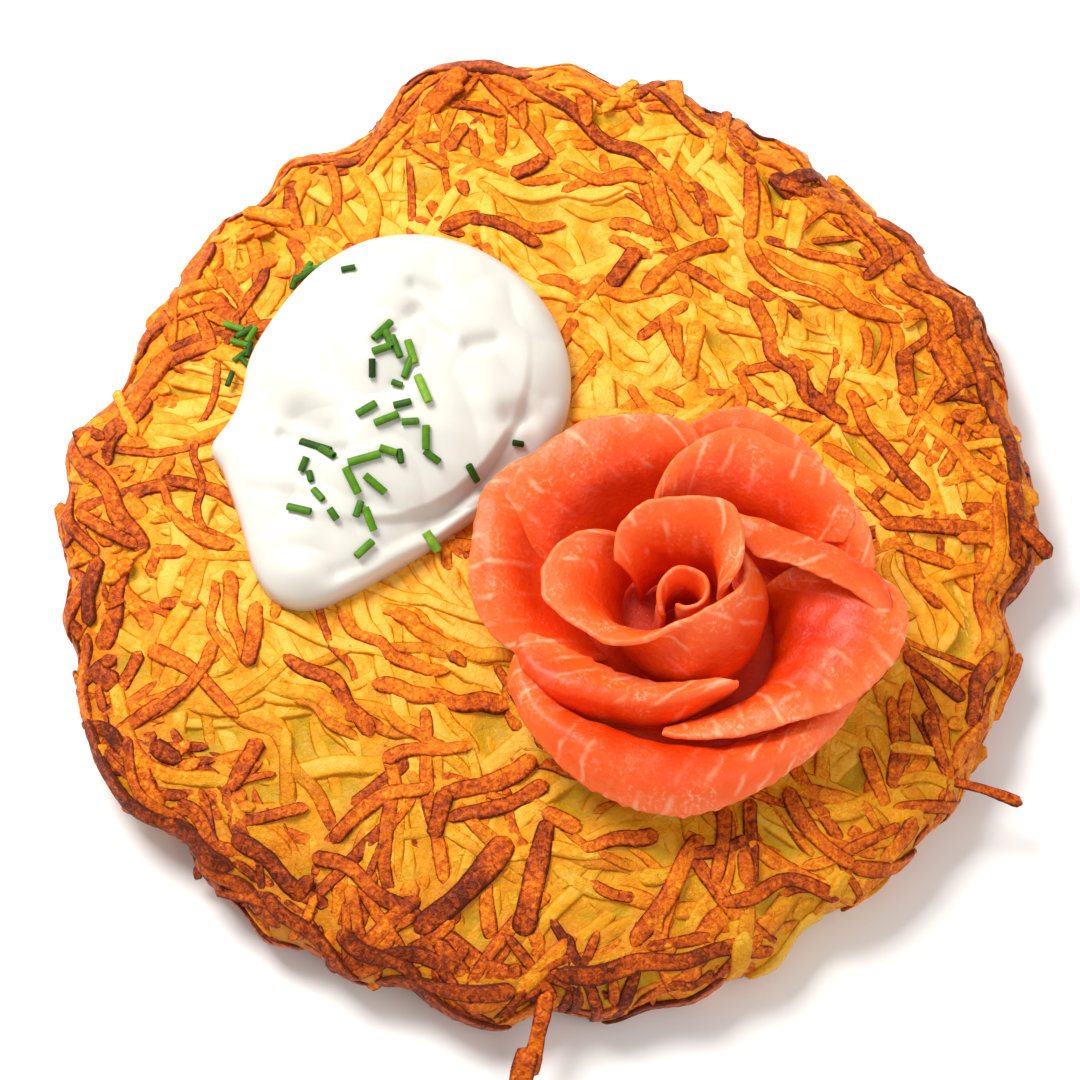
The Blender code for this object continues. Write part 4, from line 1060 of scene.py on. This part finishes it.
def smokedSalmon():
    # cold smoked salmon: wet, oily, lets light through; orange flesh with pale fat between its flakes
    material, add = startMaterial("smokedSalmon")
    where = add("ShaderNodeTexCoord").outputs["Object"]
    lipAway, along = (add("ShaderNodeAttribute", attribute_name=label).outputs["Fac"]
                      for label in ("lipAway", "along"))
    cloud, grain, broken, film = (
        add("ShaderNodeTexNoise", {"Vector": where, "Scale": 1 / (size * mm), "Detail": detail, "Roughness": rough})
        for size, detail, rough in ((6, 3.0, 0.5), (0.7, 2.0, 0.6), (4.5, 1.0, 0.5), (1.1, 3.0, 0.5)))
    # painted shade and light: the colour darkens with distance from the lip, deep red inside the rose where shade
    # falls, and pales to light orange on the lips that catch the light
    paintedDepthShade = add("ShaderNodeMapRange", {"Value": lipAway, "From Max": 11.0, "To Min": 0.80, "To Max": 0.12})
    varied = add("ShaderNodeMath", {0: cloud, 1: 0.5, 2: paintedDepthShade}, operation="MULTIPLY_ADD")
    level = add("ShaderNodeMath", {0: varied, 1: 0.25}, operation="SUBTRACT")
    colour = add("ShaderNodeValToRGB", {"Fac": level}, stops=(
        (0.0, "#cc2600"), (0.3, "#f04606"), (0.6, "#fe601c"), (1.0, "#ff8148")))
    # thin lines of fat run slanting in from the lip every few millimetres, wavy and broken
    slant = add("ShaderNodeMath", {0: lipAway, 1: 0.45, 2: along}, operation="MULTIPLY_ADD")
    drift = add("ShaderNodeMath", {0: cloud, 1: 3.0, 2: slant}, operation="MULTIPLY_ADD")
    cycle = add("ShaderNodeMath", {0: drift, 1: 2.6}, operation="PINGPONG")
    line = add("ShaderNodeMapRange", {"Value": cycle, "From Max": 0.75, "To Min": 1.0, "To Max": 0.0})
    part = add("ShaderNodeMapRange", {"Value": broken, "From Min": 0.44, "From Max": 0.62})
    # near the lips pale speckles are painted into the colour: painted glints of light on the tiny beads of oil
    patch = add("ShaderNodeMapRange", {"Value": cloud, "From Min": 0.46, "From Max": 0.66})
    glintSpecks = add("ShaderNodeMapRange", {"Value": grain, "From Min": 0.5, "From Max": 0.74})
    near = add("ShaderNodeMapRange", {"Value": lipAway, "From Min": 1.0, "From Max": 12.0,
                                      "To Min": 0.95, "To Max": 0.0})
    for first, second, tint in ((line, part, "#ffab80"), (patch, glintSpecks, "#ffb48e")):
        both = add("ShaderNodeMath", {0: first, 1: second}, operation="MULTIPLY")
        amount = add("ShaderNodeMath", {0: both, 1: near}, operation="MULTIPLY")
        colour = add("ShaderNodeMix", {"Factor": amount, "A": colour, "B": linear(tint)}, data_type="RGBA")
    relief = add("ShaderNodeMath", {0: line, 1: 0.3, 2: grain}, operation="MULTIPLY_ADD")
    bump = add("ShaderNodeBump", {"Strength": 0.7, "Distance": 0.16 * mm, "Height": relief})
    # the oil on it lies in tiny beads, which sparkle
    beaded = add("ShaderNodeBump", {"Strength": 1.0, "Distance": 1.0 * mm, "Height": film})
    return finishMaterial(material, {
        "Base Color": colour, "Roughness": 0.36, "Specular IOR Level": 0.2, "Normal": bump, "Coat Weight": 0.45,
        "Coat Roughness": 0.16, "Coat IOR": 1.36, "Coat Normal": beaded, "Subsurface Weight": 0.3,
        "Subsurface Radius": (1.0, 0.35, 0.12), "Subsurface Scale": 2.2 * mm})


salmonFinish = smokedSalmon()
for seed, (name, form) in enumerate(sliceForms.items()):
    piece = buildSlice(name, {**plainSlice, **form}, salmonFinish, seed)
    print(f"scene: {name}, {len(piece.data.polygons)} faces")


def buildBase(form):
    # the flat slice that the rose stands on
    count, radius, half = form["sectors"], 0.5 * (roseHigh.x - roseLow.x), 0.5 * form["thick"]
    turn = np.arange(count) / count * math.tau
    share = np.concatenate([np.linspace(0.04, 0.94, 24), (0.97, 0.99, 1.0)])[:, None]
    reach = radius * share * (1 + form["uneven"] * waves((turn * radius, 0 * turn), 4, 10, 3 * mm, 20 * mm))
    x, y = reach * np.cos(turn) + roseMiddle[0], reach * np.sin(turn) + roseMiddle[1]
    seat = bedHeight(x, y) + form["bed"]
    bulge = half * np.sqrt(1 - np.clip(share, 0, 1) ** 16)
    upper, lower = seat + half + bulge, seat + half - bulge
    rings = np.concatenate([np.stack([x, y, upper], -1), np.stack([x, y, lower], -1)[::-1][1:]])
    first, last = float(seat[0].mean() + form["thick"]), float(seat[0].mean())
    points = np.concatenate([[[*roseMiddle, first]], rings.reshape(-1, 3), [[*roseMiddle, last]]])
    # the flat slice takes the darkest painted shade of the salmon, as if it lay deep inside the rose
    return addMesh("salmonBase", points, ringFaces(count, len(rings)), salmonFinish, {
        "lipAway": np.full(len(points), 14.0), "along": np.zeros(len(points))})


salmonBase = buildBase({"thick": 1.7 * mm, "bed": 0.6 * mm, "uneven": 0.02, "sectors": 160})
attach(salmonBase, "root")
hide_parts("salmon_base")
print(f"scene: salmonBase, {len(salmonBase.data.polygons)} faces")

# cut chives: x, y, direction in degrees, length and width in mm, how dark
cutChives = (
    (-27.3, 24.8, 51, 5, 1.6, 0.4), (-26.2, 22.9, -72, 4, 1.6, 0.3), (-25.0, 21.5, -70, 4.5, 1.5, 0.5),
    (-27.4, 21.0, 22, 3.4, 1.6, 0.4), (-22.5, 20.9, -73, 4.5, 1.6, 0.3), (-23.1, 18.2, 72, 4, 1.5, 0.5),
    (-28.9, 17.8, 90, 3.4, 1.4, 0.9), (-24.8, 15.4, -22, 2, 1.3, 0.4), (-20.5, 14.2, -68, 5.6, 1.8, 0.2),
    (-29.8, 11.1, 32, 4, 1.6, 0.4), (-23.9, 11.8, 11, 3.2, 1.5, 0.5), (-26.5, 9.3, 22, 4.6, 1.6, 0.3),
    (-22.6, 8.8, 0, 3, 1.5, 0.5), (-20.0, 6.2, 90, 4.4, 1.6, 0.4), (-19.0, 3.3, -35, 3.4, 1.5, 0.5),
    (-40.1, 2.4, 67, 2.8, 1.4, 0.6), (-38.2, 6.1, -27, 6.5, 1.7, 0.9), (-36.2, 4.1, -43, 4, 1.6, 0.5),
    (-39.0, 0.2, -76, 2, 1.4, 0.5), (-37.6, -3.3, -53, 3, 1.5, 0.5), (-40.7, -5.7, -20, 4.6, 1.6, 0.3),
    (-35.1, -6.7, -53, 2.4, 1.5, 0.5), (-30.1, 2.4, 15, 6, 1.7, 0.3), (-26.2, 3.8, -16, 3.2, 1.6, 0.4),
    (-24.2, 3.0, -81, 2.6, 1.4, 0.5), (-32.1, -1.1, -62, 5.2, 1.7, 0.3), (-28.3, -1.6, -37, 4.8, 1.6, 0.4),
    (-31.0, -5.5, 72, 3, 1.5, 0.5), (-29.2, -7.0, -68, 4.4, 1.6, 0.3), (-12.3, 1.3, -51, 3.8, 1.5, 0.7),
    (-30.0, -11.8, 46, 4.2, 1.6, 0.4), (-19.0, -9.1, -54, 4.2, 1.9, 0.1), (-33.2, 37.7, 11, 2.6, 1.3, 0.6),
    (-4.9, 7.0, 0, 2, 1.3, 0.8),
)
herbBits = (
    (-41.0, 41.2, 32, 4.2, 1.5, 0.5), (-38.8, 42.6, 12, 3.6, 1.3, 0.2), (-40.4, 42.8, 60, 2.6, 1.2, 0.4),
    (-42.6, 40.0, 75, 2.8, 1.3, 0.7), (-37.4, 43.6, 20, 2.4, 1.1, 0.3), (-52.6, 32.2, -25, 4.2, 1.4, 0.3),
    (-50.8, 31.0, 30, 3.6, 1.4, 0.6), (-49.6, 30.4, 62, 3.4, 1.3, 0.2), (-51.6, 29.0, -20, 3.4, 1.3, 0.4),
    (-50.0, 27.6, 80, 3.2, 1.3, 0.7), (-51.4, 26.4, 40, 3.0, 1.2, 0.4), (-50.4, 25.0, -50, 2.8, 1.2, 0.5),
    (-53.0, 22.2, 72, 3.0, 1.2, 0.7),
)


def chiveTree():
    # points in, short hollow stalks out: a thin wall swept round a circle, stretched and turned at each point
    tree, add, given = startTree("cutStalks", ("Hollow", "Wall", "Bulge"))
    ring = add("GeometryNodeCurvePrimitiveCircle", {"Resolution": 14, "Radius": given["Hollow"]})
    wall = add("GeometryNodeCurvePrimitiveQuadrilateral", {"Width": given["Wall"], "Height": 1.0})
    rounded = add("GeometryNodeFilletCurve", {"Curve": wall, "Count": 2, "Radius": given["Bulge"]}, mode="POLY")
    stalk = add("GeometryNodeCurveToMesh", {"Curve": ring, "Profile Curve": rounded})
    turn, size = (add("GeometryNodeInputNamedAttribute", {"Name": label}, data_type="FLOAT_VECTOR")
                  for label in ("turn", "size"))
    rotation = add("FunctionNodeEulerToRotation", {"Euler": turn})
    spots = add("GeometryNodeInstanceOnPoints", {"Points": given["Geometry"], "Instance": stalk,
                                                 "Rotation": rotation, "Scale": size})
    finishTree(add, spots, given["Finish"])
    return tree


def freshChive():
    # cut chive: thin waxy skin over wet green flesh, light passes through, paler where it was squashed
    material, add = startMaterial("freshChive")
    where = add("ShaderNodeTexCoord").outputs["Object"]
    tone = add("ShaderNodeAttribute", attribute_name="tone").outputs["Fac"]
    streak = add("ShaderNodeTexNoise", {"Vector": where, "Scale": 1 / (1.2 * mm), "Detail": 2.0})
    shade = add("ShaderNodeMath", {0: streak, 1: 0.5, 2: tone}, operation="MULTIPLY_ADD")
    level = add("ShaderNodeMath", {0: shade, 1: 0.25}, operation="SUBTRACT")
    colour = add("ShaderNodeValToRGB", {"Fac": level}, stops=(
        (0.0, "#8cb236"), (0.3, "#578a14"), (0.65, "#34600b"), (1.0, "#1c3c06")))
    return finishMaterial(material, {
        "Base Color": colour, "Roughness": 0.5, "Specular IOR Level": 0.2, "Subsurface Weight": 0.15,
        "Subsurface Radius": (0.4, 1.0, 0.2), "Subsurface Scale": 0.8 * mm})


cutForm = {
    "lift": 0.36,  # over what it lies on, as a share of its width
    "wide": 0.85,  # of the stalk that a cut bit is made from: its size over the cut bit's
    "long": 0.92,
    "squash": (0.7, 0.95),
    "tone": (-0.1, 0.25),
}


def scatterCut(name, cuts, look, ground):
    form, points, turns, sizes, tonesOf = cutForm, [], [], [], []
    chance = random.Random(len(cuts))
    for x, y, direction, length, width, dark in cuts:
        ahead = math.radians(direction)
        way = np.array((math.cos(ahead), math.sin(ahead))) * 0.5 * length
        near, height, far = (float(ground(*(np.array((x, y)) + side * way) * mm)) for side in (-1, 0, 1))
        slope = math.atan2(far - near, length * mm)
        points.append((x * mm, y * mm, max(height, 0.5 * (far + near)) + form["lift"] * width * mm))
        turns.append((0.0, math.pi / 2 - slope, ahead))
        wide = form["wide"] * width * mm
        sizes.append((wide * chance.uniform(*form["squash"]), wide, form["long"] * length * mm))
        tonesOf.append(dark + chance.uniform(*form["tone"]))
    mesh = bpy.data.meshes.new(name + "Spots")
    mesh.from_pydata(points, [], [])
    storeFields(mesh, {"turn": turns, "size": sizes, "tone": tonesOf})
    piece = runTree(name, mesh, chiveTree(), look, chiveFinish)
    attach(piece, "root")
    print(f"scene: {name}, {len(cuts)} bits, {len(piece.data.polygons)} faces")


chiveFinish = freshChive()
scatterCut("chives", cutChives, {"Hollow": 0.38, "Wall": 0.22, "Bulge": 0.05}, creamTop)
scatterCut("herbs", herbBits, {"Hollow": 0.36, "Wall": 0.26, "Bulge": 0.05},
           lambda x, y: bedHeight(x, y) + 0.3 * mm)

corners = [(-1.5, -1.5, 0), (1.5, -1.5, 0), (1.5, 1.5, 0), (-1.5, 1.5, 0)]
paleFloor = finishMaterial(startMaterial("paleFloor")[0], {"Base Color": linear("#f6f5f3"), "Roughness": 0.8})
floor = addMesh("floor", corners, [(0, 1, 2, 3)], paleFloor, smooth=False)

view = {
    "lens": 200.0,
    "elevation": 66.0,
    "width": 177.7 * mm,  # what the view takes in at the height of the cake's top
    "target": (-1.3 * mm, -7.8 * mm, 19 * mm),
}
camera = addPiece("camera", bpy.data.cameras.new("camera"))
camera.data.lens = view["lens"]
camera.data.clip_start = 0.01
away = view["width"] * view["lens"] / camera.data.sensor_width
tip = math.radians(view["elevation"])
tx, ty, tz = view["target"]
camera.location = (tx, ty - away * math.cos(tip), tz + away * math.sin(tip))
camera.rotation_euler = (math.pi / 2 - tip, 0, 0)
bpy.context.scene.camera = camera

lamps = {
    # place in m, power in W, size in m
    "windowLight": ((-0.37, 0.36, 0.72), 9.2, 0.4),
    "fillLight": ((0.5, -0.45, 0.6), 2.4, 0.7),
}
for name, (place, power, size) in lamps.items():
    data = bpy.data.lights.new(name, "AREA")
    data.energy, data.size = power, size
    lamp = addPiece(name, data)
    lamp.location = place
    lamp.rotation_euler = (-Vector(place)).to_track_quat("-Z", "Y").to_euler()
world = bpy.data.worlds.new("softRoom")
bpy.context.scene.world = world
world.use_nodes = True
fillInputs(world.node_tree, world.node_tree.nodes["Background"], {"Color": linear("#fbfaf8"), "Strength": 0.5})
bpy.context.scene.view_settings.view_transform = "Standard"
